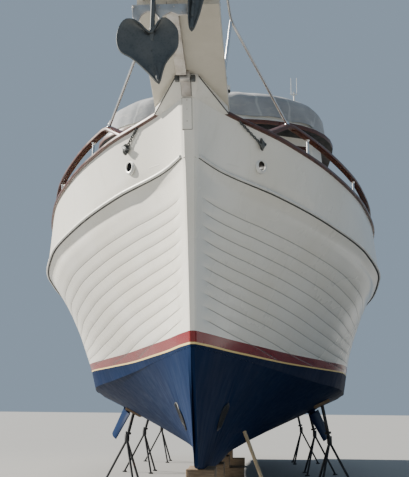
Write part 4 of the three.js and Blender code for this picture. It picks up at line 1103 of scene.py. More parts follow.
def sideFrame(s, halfName, heightName, out, side):
    # A point on an edge of the hull, with the level direction square to it
    halfAt, heightAt = hullCurve[halfName], hullCurve[heightName]
    slope = edgeSlope(halfAt, s)
    place = hullPoint(s, halfAt(s) + out * math.hypot(1, slope), heightAt(s))
    return Vector((side * place.x, place.y, place.z)), Vector((side, -slope, 0)).normalized()


rubStrip = {
    "half": 15,
    "proud": 19,
    "root": -16,
    "start": 40,
    "screwFirst": 160,
    "screwLast": 13500,
    "screwStep": 300,
    "screwRadius": 0.0065,
}
stripFace = []
for angle in range(-75, 76, 25):
    out, rise = onCircle(1, angle)
    stripFace.append((0.5 + (rubStrip["proud"] - 0.5) * out, rubStrip["half"] * rise))
stripSection = [(rubStrip["root"], -rubStrip["half"])] + stripFace + [(rubStrip["root"], rubStrip["half"])]
strip = [bandPiece("knuckleHalf", "knuckleZ", stripSection, rubStrip["start"])]
for station in range(rubStrip["screwFirst"], rubStrip["screwLast"], rubStrip["screwStep"]):
    for side in (1, -1):
        place, out = sideFrame(station, "knuckleHalf", "knuckleZ", rubStrip["proud"] - 1, side)
        strip.append(boltHead(place, out, rubStrip["screwRadius"], 0.002))
finishPiece(strip, "steelRubStrip", "stripSteel", replaces=("rub_strip",), angle=50)
sealantSection = [(-18, -17), (1.5, -17), (2.5, -15), (2.5, 15), (1.5, 16), (-18, 16)]
sealantEdges = bandPiece("knuckleHalf", "knuckleZ", sealantSection, rubStrip["start"] + 4)
finishPiece(sealantEdges, "rubStripSealant", "rubber", angle=50)

capBoard = {"out": 28, "inner": -118, "thick": 38, "gap": 0.5, "start": 290, "round": (9, 14, 12, 5)}
capSection = roundedSection([(capBoard["out"], capBoard["gap"]), (capBoard["out"], capBoard["thick"]),
    (capBoard["inner"], capBoard["thick"]), (capBoard["inner"], capBoard["gap"])], capBoard["round"], 4)
cap = bandPiece("capHalf", "capZ", capSection, capBoard["start"])
finishPiece(cap, "teakCapRail", "varnish", replaces=("cap_rail",))

handRail = {
    "rise": 240,
    "inset": 45,
    "half": 34,
    "thick": 40,
    "tip": 700,
    "foot": 745,
    "shoulder": 970,
    "crest": 1040,
    "shoulderDrop": 18,
    "barHalf": 15,
    "barLow": -7,
    "barHigh": 2,
    "round": (7, 22, 22, 7),
    "stations": (1270, 2390, 4100, 5800, 7500, 9200, 10900, 12600),
    "sternX": 0.72,
    "postRadius": 0.013,
    "flangeRadius": 0.034,
}


def handRailLift(s):
    low = capBoard["thick"] + capBoard["gap"] - handRail["rise"]
    if s <= handRail["foot"]:
        return low
    if s <= handRail["shoulder"]:
        t = (s - handRail["foot"]) / (handRail["shoulder"] - handRail["foot"])
        return low + (-handRail["shoulderDrop"] - low) * t
    if s < handRail["crest"]:
        t = (s - handRail["shoulder"]) / (handRail["crest"] - handRail["shoulder"])
        return -handRail["shoulderDrop"] * (1 - t)
    return 0


def railBox(half, low, high):
    # The four corners of a bar under the handrail's middle line
    middle = -handRail["inset"]
    return [(middle + half, low), (middle + half, high), (middle - half, high), (middle - half, low)]


railSection = roundedSection(railBox(handRail["half"], handRail["rise"], handRail["rise"] + handRail["thick"]),
    handRail["round"], 5)
bends = (handRail["foot"], 760, 850, 940, handRail["shoulder"], 990, 1015, handRail["crest"], 1075)
rail = bandPiece("capHalf", "capZ", railSection, handRail["tip"], handRailLift, bends)
finishPiece(rail, "teakHandrail", "varnish", replaces=("handrail",))
barLow, barHigh = handRail["rise"] + handRail["barLow"], handRail["rise"] + handRail["barHigh"]
barSection = railBox(handRail["barHalf"], barLow, barHigh)
fillet = bandPiece("capHalf", "capZ", barSection, handRail["crest"] + 20)
finishPiece(fillet, "handrailFillet", "varnish")
railFrame = []


def stanchionPiece(foot):
    foot = Vector(foot)
    top = foot + up((handRail["rise"] - 5) * mm)
    base = foot + up(capBoard["thick"] * mm)
    radius, flange = handRail["postRadius"], handRail["flangeRadius"]
    post = spunPiece([(0, radius), (1, radius)], base - up(0.002), top, 16)
    collarShape = [(0, flange), (0.18, flange), (0.28, flange * 0.88), (0.34, 0.019), (0.92, 0.0175),
        (1, 0.0145)]
    collar = spunPiece(collarShape, base - up(0.002), base + up(0.04), 20)
    head = spunPiece([(0, 0.014), (0.4, 0.017), (1, 0.024)], top - up(0.02), top, 16)
    bolts = footBolts(base + up(0.006), 0.026, (0.6, 2.7, 4.8), 0.005, 0.003)
    return joinPieces([post, collar, head] + bolts)


for s in handRail["stations"]:
    for side in (1, -1):
        foot, out = sideFrame(s, "capHalf", "capZ", -handRail["inset"], side)
        railFrame.append(stanchionPiece(foot))
sternEdge = hullPoint(hullSkin["length"], 0, hullCurve["capZ"](hullSkin["length"]))
sternY = sternEdge.y - handRail["inset"] * mm
for side in (1, -1):
    railFrame.append(stanchionPiece((side * handRail["sternX"], sternY, sternEdge.z)))
finishPiece(railFrame, "railFrame", "steel", replaces=("rail_frame",), angle=45)
print("rails made")

# Pulpit platform on its raised base

platform = {
    "slope": 0.141,
    "rootY": -300,
    "rootZ": 1978,
    "tipY": -1760,
    "rootHalf": 328,
    "tipHalf": 290,
    "thick": 62,
    "round": 9,
}


def platformZ(y):
    return platform["rootZ"] + (platform["rootY"] - y) * platform["slope"]


def platformHalf(y):
    share = (platform["rootY"] - y) / (platform["rootY"] - platform["tipY"])
    return between(platform["rootHalf"], platform["tipHalf"], share)


rings = []
for step in range(9):
    y = between(platform["rootY"], platform["tipY"], step / 8)
    half, low = platformHalf(y), platformZ(y)
    corners = [(half, low), (half, low + platform["thick"]), (-half, low + platform["thick"]), (-half, low)]
    rings.append([boatPoint(x, y, z) for x, z in roundedSection(corners, platform["round"], 3)])
slab = loftPiece(rings)
# The slab's darker gelcoat is painted shade
finishPiece(slab, "pulpitSlab", "slabShade", replaces=("pulpit_platform",))

base = {"edgeAft": (324, -446, 1926), "edgeFront": (92, -930, 2048), "trimRadius": 0.0045}
baseFrontY, baseFrontZ = base["edgeFront"][1:]
wedge = nodeCopy("pulpit_base")
finishPiece(wedge, "pulpitBase", "gelcoat", replaces=("pulpit_base",), angle=24)
trims = []
for side in (1, -1):
    ends = [boatPoint(side * (x + 1), y - 1, z) for x, y, z in (base["edgeFront"], base["edgeAft"])]
    trims.append(tubePiece([ends[0], ends[0].lerp(ends[1], 0.5), ends[1]], base["trimRadius"], 8))
finishPiece(trims, "baseEdgeTrim", "rubber", slot="gelcoat", angle=60)

# Stem plates with their sealant, the block at the stem head and its chocks

stemPlate = {
    "x": -16,
    "half": 40,
    "thick": 9,
    "low": 1700,
    "seam": 1936,
    "top": 2046,
    "sealant": 2.5,
    "bolts": (1760, 1850, 1920),
}
capHeight = hullCurve["capZ"](0)


def wedgeFrontY(z):
    return between(stemY(capHeight), baseFrontY, (z - capHeight) / (baseFrontZ - capHeight))


def stemPlatePiece(low, high, faceY, grow, thick, edge):
    half = (stemPlate["half"] + grow) * mm
    middle = stemPlate["x"] * mm
    low, high = low - grow, high + grow
    corners = ((low, 12), (low, -thick), (high, -thick), (high, 12))
    outline = [boatPoint(0, faceY(z) + reach, z).yz for z, reach in corners]
    return platePiece(outline, 0, middle - half, middle + half, edge, 3)


headBlock = {"half": 42, "front": 62, "aft": 4, "low": 1996, "boltColumns": (-26, 0, 26), "boltRows": (16, 40)}
middleX, headFrontY = stemPlate["x"], baseFrontY - headBlock["front"]
headLow = boatPoint(middleX - headBlock["half"], headFrontY, headBlock["low"])
headHigh = boatPoint(middleX + headBlock["half"], baseFrontY + headBlock["aft"], platformZ(baseFrontY) - 1)
plates = [stemPlatePiece(stemPlate["seam"] + 10, stemPlate["top"], wedgeFrontY, 0, stemPlate["thick"], 0.003),
    boxPiece(headLow, headHigh, 0.005, 3)]
boltSpots = [(boatPoint(middleX + dx, headFrontY, headBlock["low"] + dz), 0)
    for dx in headBlock["boltColumns"] for dz in headBlock["boltRows"]]
boltSpots += [(boatPoint(middleX, stemY(z) - stemPlate["thick"], z), -hullSkin["stemRake"])
    for z in stemPlate["bolts"]]
for spot, slope in boltSpots:
    plates.append(boltHead(spot, (0, -1, slope), 0.0055, 0.003))
finishPiece(plates, "stemPlates", "wornSteel", replaces=("stem_plate",))
lowerPlate = stemPlatePiece(stemPlate["low"], stemPlate["seam"], stemY, 0, stemPlate["thick"], 0.003)
finishPiece(lowerPlate, "stemPlateLower", "hullPaint")
sealant = [stemPlatePiece(stemPlate["low"], stemPlate["seam"], stemY, stemPlate["sealant"], 4, 0.002),
    stemPlatePiece(stemPlate["seam"] + 14, stemPlate["top"], wedgeFrontY, stemPlate["sealant"], 5, 0.002)]
finishPiece(sealant, "stemPlateSealant", "rubber")
chock = {"lefts": (46, -84), "width": 38, "front": 34, "aft": 10, "low": 2000, "high": 2046}
chocks = [boxPiece(boatPoint(middleX + left, baseFrontY - chock["front"], chock["low"]),
    boatPoint(middleX + left + chock["width"], baseFrontY + chock["aft"], chock["high"]), 0.006, 2)
    for left in chock["lefts"]]
finishPiece(chocks, "stemHeadChocks", "galvanised")

# Twin bow roller: cheeks, wheels, axle, base plate, and the channel under the platform

roller = {
    "front": -1900,
    "rear": -1480,
    "cheek": 10,
    "cheeks": (-250, -30, 14, 234),
    "cheekRound": (6, 10, 32, 40, 40, 30),
    "axleEnds": (-253, 247),
    "axleRadius": 11,
    "axleRise": 90,
    "plateSides": (-255, 250),
    "plateThick": 8,
    "boltStations": (-1520, -1620, -1720),
    "boltColumns": (-215, -140, -65, 50, 120, 200),
    "wheelSpans": ((-232, -38), (32, 226)),
    "wheelProfile": ((0, 0.030), (0.0, 0.042), (0.05, 0.044), (0.2, 0.036), (0.5, 0.029), (0.8, 0.036),
        (0.95, 0.044), (1, 0.042), (1, 0.030)),
}


def platformTop(y):
    return platformZ(y) + platform["thick"]


rollerBase = platformZ(platform["tipY"]) - 22
front, rear = roller["front"], roller["rear"]
cheekOutline = [(rear, platformTop(rear) + 2), (platform["tipY"] - 20, rollerBase + 60),
    (front - 40, rollerBase + 20), (front - 70, rollerBase + 110), (front, rollerBase + 190),
    (rear, platformTop(rear) + 80)]
cheekOutline = roundedSection(cheekOutline, roller["cheekRound"], 5)
rollerParts = []
for x in roller["cheeks"]:
    outline = [boatPoint(0, y, z).yz for y, z in cheekOutline]
    rollerParts.append(platePiece(outline, 0, x * mm, (x + roller["cheek"]) * mm, 0.0025, 2))
axleZ = rollerBase + roller["axleRise"]
axleEnds = [boatPoint(x, front, axleZ) for x in roller["axleEnds"]]
rollerParts.append(rodPiece(*axleEnds, roller["axleRadius"] * mm, 20))
for end, towards in zip(axleEnds, (-1, 1)):
    rollerParts.append(boltHead(end, (towards, 0, 0), 0.012, 0.0015))
plateRings = []
left, right = roller["plateSides"]
for step in range(5):
    y = between(roller["rear"], platform["tipY"], step / 4)
    low, high = platformTop(y) + 0.5, platformTop(y) + roller["plateThick"]
    section = roundedSection([(left, low), (left, high), (right, high), (right, low)], 2, 2)
    plateRings.append([boatPoint(x, y, z) for x, z in section])
rollerParts.append(loftPiece(plateRings))
for y in roller["boltStations"]:
    for x in roller["boltColumns"]:
        spot = boatPoint(x, y, platformTop(y) + roller["plateThick"])
        rollerParts.append(boltHead(spot, (0, -platform["slope"], 1), 0.011, 0.007))
channel = {"x": -40, "half": 40, "depth": 58, "wall": 5, "front": -1800, "aft": -1010}
section = [(-1, 0), (-1, -1), (1, -1), (1, 0)]
channelRings = []
for y in (channel["front"], (channel["front"] + channel["aft"]) / 2, channel["aft"]):
    top = platformZ(y) - 0.5
    ring = [(channel["x"] + channel["half"] * u, top + channel["depth"] * v) for u, v in section]
    innerHalf, innerDepth = channel["half"] - channel["wall"], channel["depth"] - channel["wall"]
    ring += [(channel["x"] + innerHalf * u, top + innerDepth * v) for u, v in reversed(section)]
    channelRings.append([boatPoint(x, y, z) for x, z in ring])
rollerParts.append(loftPiece(channelRings))
finishPiece(rollerParts, "bowRoller", "wornSteel", replaces=("bow_roller",), angle=35)
wheels = [spunPiece(roller["wheelProfile"], boatPoint(start, front, axleZ), boatPoint(end, front, axleZ), 28)
    for start, end in roller["wheelSpans"]]
finishPiece(wheels, "rollerWheels", "rubber", angle=35)

# Plough anchors

plough = {
    "notch": (-17, -510),
    "tip": (55, -866),
    "port": ((9, -507), (53, -422), (91, -405), (158, -475), (172, -554), (164, -624), (111, -697), (83, -752)),
    "starboard": ((-47, -488), (-84, -444), (-157, -403), (-208, -445), (-228, -545), (-203, -634),
        (-135, -678), (-55, -749)),
    "notchY": -66,
    "tipY": -98,
    "edgeY": -80,
    "hollow": 26,
    "thick": 0.011,
    "shankLow": -560,
    "shank": ((-8, -60), (40, -18), (640, -10), (655, 30), (600, 45), (20, 40), (-40, 0), (-56, -60)),
    "shankHalf": 0.013,
    "bolts": (-470, -520),
}
narrowPlough = dict(plough, notch=(2, -150), tip=(-4, -500), shankLow=-210, bolts=(),
    port=((34, -150), (82, -178), (76, -236), (60, -300), (41, -382), (14, -462)),
    starboard=((-8, -152), (-20, -176), (-23, -240), (-23, -330), (-22, -410), (-15, -470)))
anchorPlace = {"y": -1990, "lift": 126, "starboardX": -135, "portX": 129}


def evenPoints(path, shares):
    # The points at the given shares of a path's whole length
    lengths = [0.0]
    for before, after in zip(path, path[1:]):
        lengths.append(lengths[-1] + (after - before).length)
    result = []
    index = 0
    for share in shares:
        target = lengths[-1] * share
        while index < len(path) - 2 and lengths[index + 1] < target:
            index += 1
        span = lengths[index + 1] - lengths[index]
        along = 0 if span == 0 else (target - lengths[index]) / span
        result.append(path[index].lerp(path[index + 1], min(max(along, 0), 1)))
    return result


def smoothOutline(points, count, steps=12):
    # Even points along a soft curve through the outline
    points = [Vector(point) for point in points]
    dense = []
    for index in range(len(points) - 1):
        p1, p2 = points[index], points[index + 1]
        p0, p3 = points[max(index - 1, 0)], points[min(index + 2, len(points) - 1)]
        for step in range(steps):
            t = step / steps
            dense.append(0.5 * (2 * p1 + (p2 - p0) * t + (2 * p0 - 5 * p1 + 4 * p2 - p3) * t ** 2
                + (3 * p1 - p0 - 3 * p2 + p3) * t ** 3))
    dense.append(points[-1])
    return evenPoints(dense, [step / (count - 1) for step in range(count)])


def ploughWing(shape, side, columns=34, rows=9):
    edge = smoothOutline([shape["notch"], *shape[side], shape["tip"]], columns)
    notch, tip = Vector(shape["notch"]), Vector(shape["tip"])
    deselectAll()
    bpy.ops.mesh.primitive_grid_add(x_subdivisions=columns - 1, y_subdivisions=rows - 1, size=2)
    wing = bpy.context.object
    for vertex in wing.data.vertices:
        column = round((vertex.co.x + 1) / 2 * (columns - 1))
        across = (vertex.co.y + 1) / 2
        along = min(max((edge[column] - notch).dot(tip - notch) / (tip - notch).length_squared, 0), 1)
        along = max(along, column / (columns - 1) * 0.35)
        ridge = notch.lerp(tip, along)
        ridgeY = between(shape["notchY"], shape["tipY"], along)
        flat = ridge.lerp(edge[column], across)
        hollow = shape["hollow"] * math.sin(math.pi * across) * (1 - along * 0.6)
        vertex.co = Vector((flat.x, between(ridgeY, shape["edgeY"], across) + hollow, flat.y)) * mm
    mergeClose(wing, 0.0005)
    return wing


def ploughPiece(name, node, place, shape):
    wings = joinPieces([ploughWing(shape, "port"), ploughWing(shape, "starboard")])
    mergeClose(wings, 0.0008)
    outwardFaces(wings)
    if sum(polygon.normal.y * polygon.area for polygon in wings.data.polygons) > 0:
        flipFaces(wings)
    wall = wings.modifiers.new("plate", "SOLIDIFY")
    wall.thickness = shape["thick"]
    wall.offset = -1
    applyModifiers(wings)
    bevelEdges(wings, 0.003, 2, 40)
    low = shape["shankLow"]
    outline = [(y * mm, z * mm) for y, z in ((-70, low), (-26, low), *shape["shank"])]
    shank = platePiece(outline, 0, -shape["shankHalf"], shape["shankHalf"], 0.005, 3)
    parts = [wings, shank]
    for z in shape["bolts"]:
        for side in (1, -1):
            parts.append(boltHead(Vector((side * 14, -48, z)) * mm, (side, 0, 0), 0.012, 0.006))
    piece = joinPieces(parts)
    for vertex in piece.data.vertices:
        vertex.co = vertex.co + place
    finishPiece(piece, name, "galvanised", replaces=(node,), angle=35)


anchorZ = platformZ(platform["tipY"]) + anchorPlace["lift"]
for side, shape in (("starboard", plough), ("port", narrowPlough)):
    place = boatPoint(anchorPlace[side + "X"], anchorPlace["y"], anchorZ)
    ploughPiece(side + "Plough", "anchor_" + side, place, shape)

# Arched apron plate at the end of the roller, with its rim and bolts

apron = {
    "face": -8.056,
    "back": -8.042,
    "arch": (-0.164, 3.722),
    "radius": 0.073,
    "rim": 0.0085,
    "corner": (0.072, 3.785),
    "outline": ((-0.281, 3.842), (0.098, 3.842), (0.112, 3.80), (0.098, 3.762), (0.03, 3.762), (-0.02, 3.785),
        (-0.07, 3.76)),
    "foot": ((-0.258, 3.726), (-0.276, 3.755)),
    "boltRow": (-0.27, -0.1, 0.0),
}
archX, archZ = apron["arch"]
archPoints = []
for angle in range(0, 181, 12):
    across, rise = onCircle(apron["radius"], angle)
    archPoints.append((archX + across, archZ + rise))
outline = [*apron["outline"], *archPoints, *apron["foot"]]
apronParts = [platePiece(outline, 1, apron["face"], apron["back"], 0.002)]
rimY = (apron["face"] + apron["back"]) / 2
apronParts.append(tubePiece([(x, rimY, z) for x, z in archPoints], apron["rim"], 10))
cornerX, cornerZ = apron["corner"]
for x in (cornerX - 0.02, cornerX + 0.02):
    apronParts.append(boltHead((x, apron["face"], cornerZ), (0, -1, 0), 0.008, 0.004))
for x in apron["boltRow"]:
    apronParts.append(boltHead((x, apron["face"], 3.825), (0, -1, 0), 0.007, 0.004))
finishPiece(apronParts, "rollerApron", "wornSteel")

# Pulpit rail

pulpit = {
    "knee": (349, -766, 2633),
    "front": (262, -1800),
    "frontRise": 560,
    "footInset": 1.2,
    "radius": 0.013,
    "middleRadius": 0.011,
    "legs": (-766, -1680),
    "middleRise": 95,
    "bend": 0.09,
    "footSunk": 6,
    "noseReach": 90,
    "legInset": 26,
    "railFlange": ((0, 0.026), (0.25, 0.026), (0.5, 0.018), (1, 0.015)),
    "legFlange": ((0, 0.030), (0.3, 0.030), (0.45, 0.024), (0.5, 0.018), (1, 0.015)),
    "clamp": ((0, 0.015), (0.1, 0.0185), (0.9, 0.0185), (1, 0.015)),
}
pulpitTubes = []
pulpitClamps = []
frontZ = platformTop(pulpit["front"][1]) + pulpit["frontRise"]
for side in (1, -1):
    s = handRail["shoulder"]
    half = hullCurve["capHalf"](s) - handRail["inset"] * pulpit["footInset"]
    start = hullPoint(s, half, hullCurve["capZ"](s))
    rise = handRail["rise"] - handRail["shoulderDrop"] + handRail["thick"] - pulpit["footSunk"]
    foot = Vector((side * start.x, start.y, start.z + rise * mm))
    knee = boatPoint(side * pulpit["knee"][0], *pulpit["knee"][1:])
    front = boatPoint(side * pulpit["front"][0], pulpit["front"][1], frontZ)
    nose = boatPoint(0, pulpit["front"][1] - pulpit["noseReach"], frontZ)
    pulpitTubes.append(tubePiece([foot, knee, front, nose], pulpit["radius"], 20, pulpit["bend"]))
    pulpitTubes.append(spunPiece(pulpit["railFlange"], foot - up(0.006), foot + up(0.03), 20))
    feet = []
    for y in pulpit["legs"]:
        low = boatPoint(side * (platformHalf(y) - pulpit["legInset"]), y, platformTop(y))
        top = knee.lerp(front, (y - pulpit["knee"][1]) / (pulpit["front"][1] - pulpit["knee"][1]))
        feet.append(low)
        pulpitTubes.append(rodPiece(low, top, pulpit["radius"], 20))
        pulpitTubes.append(spunPiece(pulpit["legFlange"], low - up(0.003), low + up(0.032), 20))
        pulpitTubes += footBolts(low + up(0.007), 0.023, (0.5, 2.6, 4.7), 0.004, 0.003)
        pulpitClamps.append(spunPiece(pulpit["clamp"], low + up(0.075), low + up(0.118), 20))
    rear, fore = feet
    rise = pulpit["middleRise"] * mm
    pulpitTubes.append(rodPiece(rear + up(rise), fore + up(3 * rise), pulpit["middleRadius"], 16))
finishPiece(pulpitTubes, "pulpitRail", "steel", replaces=("pulpit_rail",), angle=45)
finishPiece(pulpitClamps, "pulpitClamps", "rubber", angle=45)

# Hawse rings and the chains that hang above them

hawseRing = {
    "ring": 0.075,
    "bore": 0.042,
    "proud": 0.016,
    "linerDepth": 0.058,
    "boltReach": 0.066,
    "darkWithin": 0.0465,
    "darkBelow": 0.008,
}
hawseProfile = [(0.0, hawseRing["bore"] - 0.001), (0.0, 0.047), (0.70, 0.047), (0.72, hawseRing["ring"]),
    (0.80, hawseRing["ring"]), (0.90, hawseRing["ring"] - 0.006), (0.93, 0.060), (1.0, 0.053), (0.97, 0.045),
    (0.86, hawseRing["bore"])]
for name, side in (("port", 1), ("starboard", -1)):
    centre, normal = hawseFrame(side)
    depth = hawseRing["linerDepth"]
    ring = ringPiece(hawseProfile, centre - normal * depth, normal, depth + hawseRing["proud"], 48)
    bolts = boltCircle(centre, normal, hawseRing["boltReach"], 0.002, 0.006, 0.004)
    ring = finishPiece([ring] + bolts, name + "HawseRing", "stripSteel",
        replaces=("hawse_ring_" + name,))
    # The faces inside the bore are painted near black: painted shade in the hole
    ring.data.materials.append(finish["darkPane"])
    for polygon in ring.data.polygons:
        offset = polygon.center - centre
        outwards = offset.dot(normal)
        if (offset - normal * outwards).length < hawseRing["darkWithin"] and outwards < hawseRing["darkBelow"]:
            polygon.material_index = 1

# Links are long, wide and thick. A heap's links lie aside, down and turned from the run's end
chain = {
    "link": (0.036, 0.022, 0.0045),
    "runs": ((-1, 515, 1908, 640, 1795), (1, 420, 1912, 610, 1800)),
    "heap": ((-0.020, 0.004, 0.4), (0.016, 0.012, 1.3), (-0.004, 0.026, 2.2), (0.026, 0.034, 0.9),
        (-0.030, 0.030, 1.7), (0.004, 0.046, 0.1), (-0.016, 0.056, 2.7)),
    "heapLink": (0.052, 0.036, 0.007),
    "toggle": ((0, 0.010), (0.2, 0.017), (0.8, 0.017), (1, 0.010)),
}


def chainLink(centre, along, across, long, wide, wire):
    along, across = Vector(along).normalized(), Vector(across).normalized()
    points = [centre + along * (long / 2 * math.cos(angle)) + across * (wide / 2 * math.sin(angle))
        for angle in turns(16)]
    return tubePiece(points, wire, 6, 0, True)


def bulwarkPoint(side, s, z, out):
    place, normal = bulwarkFrame(side, s, z)
    return place + normal * out


chainParts = []
for side, startS, startZ, endS, endZ in chain["runs"]:
    start = bulwarkPoint(side, startS, startZ, 0.012)
    end = bulwarkPoint(side, endS, endZ, 0.014)
    drop = (end - start).normalized()
    out = (bulwarkPoint(side, endS, endZ, 0.05) - bulwarkPoint(side, endS, endZ, 0)).normalized()
    level = drop.cross(out).normalized()
    pitch = chain["link"][0] - 2.2 * chain["link"][2]
    for index in range(int((end - start).length / pitch) + 1):
        across = level if index % 2 else level * 0.35 + out
        chainParts.append(chainLink(start + drop * pitch * index, drop, across, *chain["link"]))
    for aside, down, turn in chain["heap"]:
        along = level * math.cos(turn) + drop * math.sin(turn)
        spot = end + level * aside + drop * down + out * 0.006
        chainParts.append(chainLink(spot, along, out * 0.8 + level * 0.4, *chain["heapLink"]))
    chainParts.append(spunPiece(chain["toggle"], end - level * 0.035 + drop * 0.01 + out * 0.012,
        end + level * 0.030 + drop * 0.045 + out * 0.012, 12))
finishPiece(chainParts, "hawseChains", "galvanised", angle=60)
print("bow made")

# Deckhouse: window frames, roof, coaming and doors

house = {
    "frontY": 3000,
    "aftY": 8050,
    "half": 1620,
    "sillZ": 2160,
    "headZ": 3030,
    "topZ": 3200,
    "sideLean": 60,
    "frontLean": 170,
    "sideWindows": ((5330, 6330), (6480, 7480)),
    "facetDepth": 330,
    "kneeShare": 0.36,
    "cornerShare": 0.9,
    "frontPane": 500,
    "facetPane": (640, 1320),
    "aftPane": (1150, 250),
    "teakFrame": (0.05, 0.018),
    "sideFrame": (0.042, 0.009),
    "aftFrame": (0.03, 0.012),
}


def leanShare(z):
    return min(max((z - house["sillZ"]) / (house["topZ"] - house["sillZ"]), 0), 1)


def frontWall(u, z):
    # u is the distance from the centreline, on the flat front and then on the angled facet
    half = house["half"] - house["sideLean"] * leanShare(z)
    front = house["frontY"] + house["frontLean"] * leanShare(z)
    knee, corner = half * house["kneeShare"], half * house["cornerShare"]
    if abs(u) <= knee:
        return boatPoint(u, front, z)
    return boatPoint(u, front + house["facetDepth"] * (abs(u) - knee) / (corner - knee), z)


def sideWall(side, y, z):
    return boatPoint(side * (house["half"] - house["sideLean"] * leanShare(z)), y, z)


def frameRing(first, last, low, high, placeAt, width, thick, lift=0.001):
    # A flat frame round four corners, raised from the wall. Swapped ends turn it to face the other way.
    corners = [placeAt(along, z) for along, z in ((first, low), (last, low), (last, high), (first, high))]
    normal = (corners[1] - corners[0]).cross(corners[2] - corners[1]).normalized()
    deselectAll()
    bpy.ops.mesh.primitive_plane_add(size=1)
    piece = bpy.context.object
    for index, vertex in zip((0, 1, 3, 2), piece.data.vertices):
        corner = corners[index]
        along = (corners[(index + 1) % 4] - corner).normalized()
        back = (corners[index - 1] - corner).normalized()
        vertex.co = corner - along * width * 0.7 - back * width * 0.7 + normal * lift
    startEdit(piece)
    bpy.ops.mesh.inset(thickness=width, use_boundary=True)
    bpy.ops.mesh.delete(type="FACE")
    bpy.ops.mesh.select_all(action="SELECT")
    bpy.ops.mesh.extrude_region_move(TRANSFORM_OT_translate={"value": tuple(normal * thick)})
    outwardFaces(piece)
    bevelEdges(piece, 0.004, 2)
    return piece


def endsFor(side, first, last):
    return (first, last) if side > 0 else (last, first)


def aftWall(x, z):
    return boatPoint(x, house["aftY"], z)


low, high = house["sillZ"] + 60, house["headZ"]
teakFrames = [frameRing(-house["frontPane"], house["frontPane"], low, high, frontWall, *house["teakFrame"])]
steelFrames = []
for side in (1, -1):
    ends = endsFor(side, *(side * x for x in house["facetPane"]))
    teakFrames.append(frameRing(*ends, low, high, frontWall, *house["teakFrame"]))
    for front, aft in house["sideWindows"]:
        steelFrames.append(frameRing(*endsFor(side, front, aft), house["sillZ"], house["headZ"],
            lambda y, z: sideWall(side, y, z), *house["sideFrame"]))
    ends = endsFor(side, *(side * x for x in house["aftPane"]))
    steelFrames.append(frameRing(*ends, low, high, aftWall, *house["aftFrame"]))
finishPiece(teakFrames, "frontWindowFrames", "varnish", angle=35)
finishPiece(steelFrames, "sideWindowFrames", "wornSteel", angle=35)

houseRoof = nodeCopy("deckhouse_roof")
bevelEdges(houseRoof, 0.016, 4, 50)
finishPiece(houseRoof, "houseRoof", "gelcoat", replaces=("deckhouse_roof",))
houseRoof.data.materials.append(finish["darkPane"])
houseRoof.data.materials.append(finish["varnish"])  # varnished edge round an underside painted near black as painted shade
# Faces that look down take the near black as painted shade under the overhang; the other steep faces take the
# varnish
for polygon in houseRoof.data.polygons:
    if polygon.normal.z < 0.5:
        polygon.material_index = 1 if polygon.normal.z < -0.8 else 2
coaming = nodeCopy("flybridge_coaming")
bevelEdges(coaming, 0.012, 3, 50)
finishPiece(coaming, "flybridgeCoaming", "gelcoat", replaces=("flybridge_coaming",))

doorDetail = {
    "front": 4150,
    "aft": 4950,
    "gap": 12,
    "thick": 36,
    "margin": 70,
    "panels": ((1335, 1980), (2180, 2920)),
    "pullInset": 40,
    "pullZ": 2090,
    "pullRadius": 0.006,
    "pullPath": ((-0.002, -0.06), (0.03, -0.055), (0.03, 0.055), (-0.002, 0.06)),
}
for sideName, side in (("port", 1), ("starboard", -1)):
    outer = Vector((side * (doorDetail["gap"] + doorDetail["thick"]) * mm, 0, 0))
    margin = doorDetail["margin"]
    first, last = endsFor(side, doorDetail["front"] + margin, doorDetail["aft"] - margin)
    parts = [frameRing(first, last, low, high, lambda y, z: sideWall(side, y, z) + outer, 0.028, 0.009, -0.001)
        for low, high in doorDetail["panels"]]
    finishPiece(parts, sideName + "DoorMouldings", "varnish", body=sideName + "_door", angle=35)
    middle = sideWall(side, doorDetail["front"] + doorDetail["pullInset"], doorDetail["pullZ"]) + outer
    pull = tubePiece([middle + Vector((side * out, 0, rise)) for out, rise in doorDetail["pullPath"]],
        doorDetail["pullRadius"], 12, 0.012)
    finishPiece(pull, sideName + "DoorPull", "steel", body=sideName + "_door", angle=50)

# Small round windows in the trunk cabins

portLight = {
    "radius": 0.078,
    "ring": 0.022,
    "proud": 0.012,
    "paneThick": 0.004,
}
# Stations, height, the two ends of the cabin's side with their half breadths, and its lean along the boat
portLightRows = (
    ((8750, 9650, 10550), 1690, (8050.5, 1560), (11600, 1480), 0.0225),
    ((1650, 2350), 1580, (1150, 700), (2980, 1080), -0.2077),
)
rimPieces, panePieces = [], []


def portLightPieces(centre, normal):
    radius, ring = portLight["radius"], portLight["ring"]
    inside, outside = radius - 0.004, radius + ring
    profile = [(0, inside), (0, outside), (0.6, outside), (1, radius + ring * 0.6), (1, radius + ring * 0.3),
        (0.5, inside)]
    rimPieces.append(ringPiece(profile, centre - normal * 0.002, normal, portLight["proud"], 32))
    rimPieces.extend(boltCircle(centre, normal, radius + ring * 0.8, 0.006, 0.004, 0.003))
    panePieces.append(spunPiece([(0, radius), (0.8, radius), (1, inside)], centre - normal * 0.001,
        centre + normal * portLight["paneThick"], 32))


for side in (1, -1):
    for stations, z, (foreY, foreHalf), (aftY, aftHalf), facing in portLightRows:
        for y in stations:
            half = between(foreHalf, aftHalf, (y - foreY) / (aftY - foreY))
            portLightPieces(boatPoint(side * half, y, z), Vector((side, facing, 0)).normalized())
finishPiece(rimPieces, "portLightRims", "bronze")
# The panes are painted near black: painted shade standing for the dark cabin behind the glass
finishPiece(panePieces, "portLightPanes", "darkPane")

# Hatch lid with its border and slats

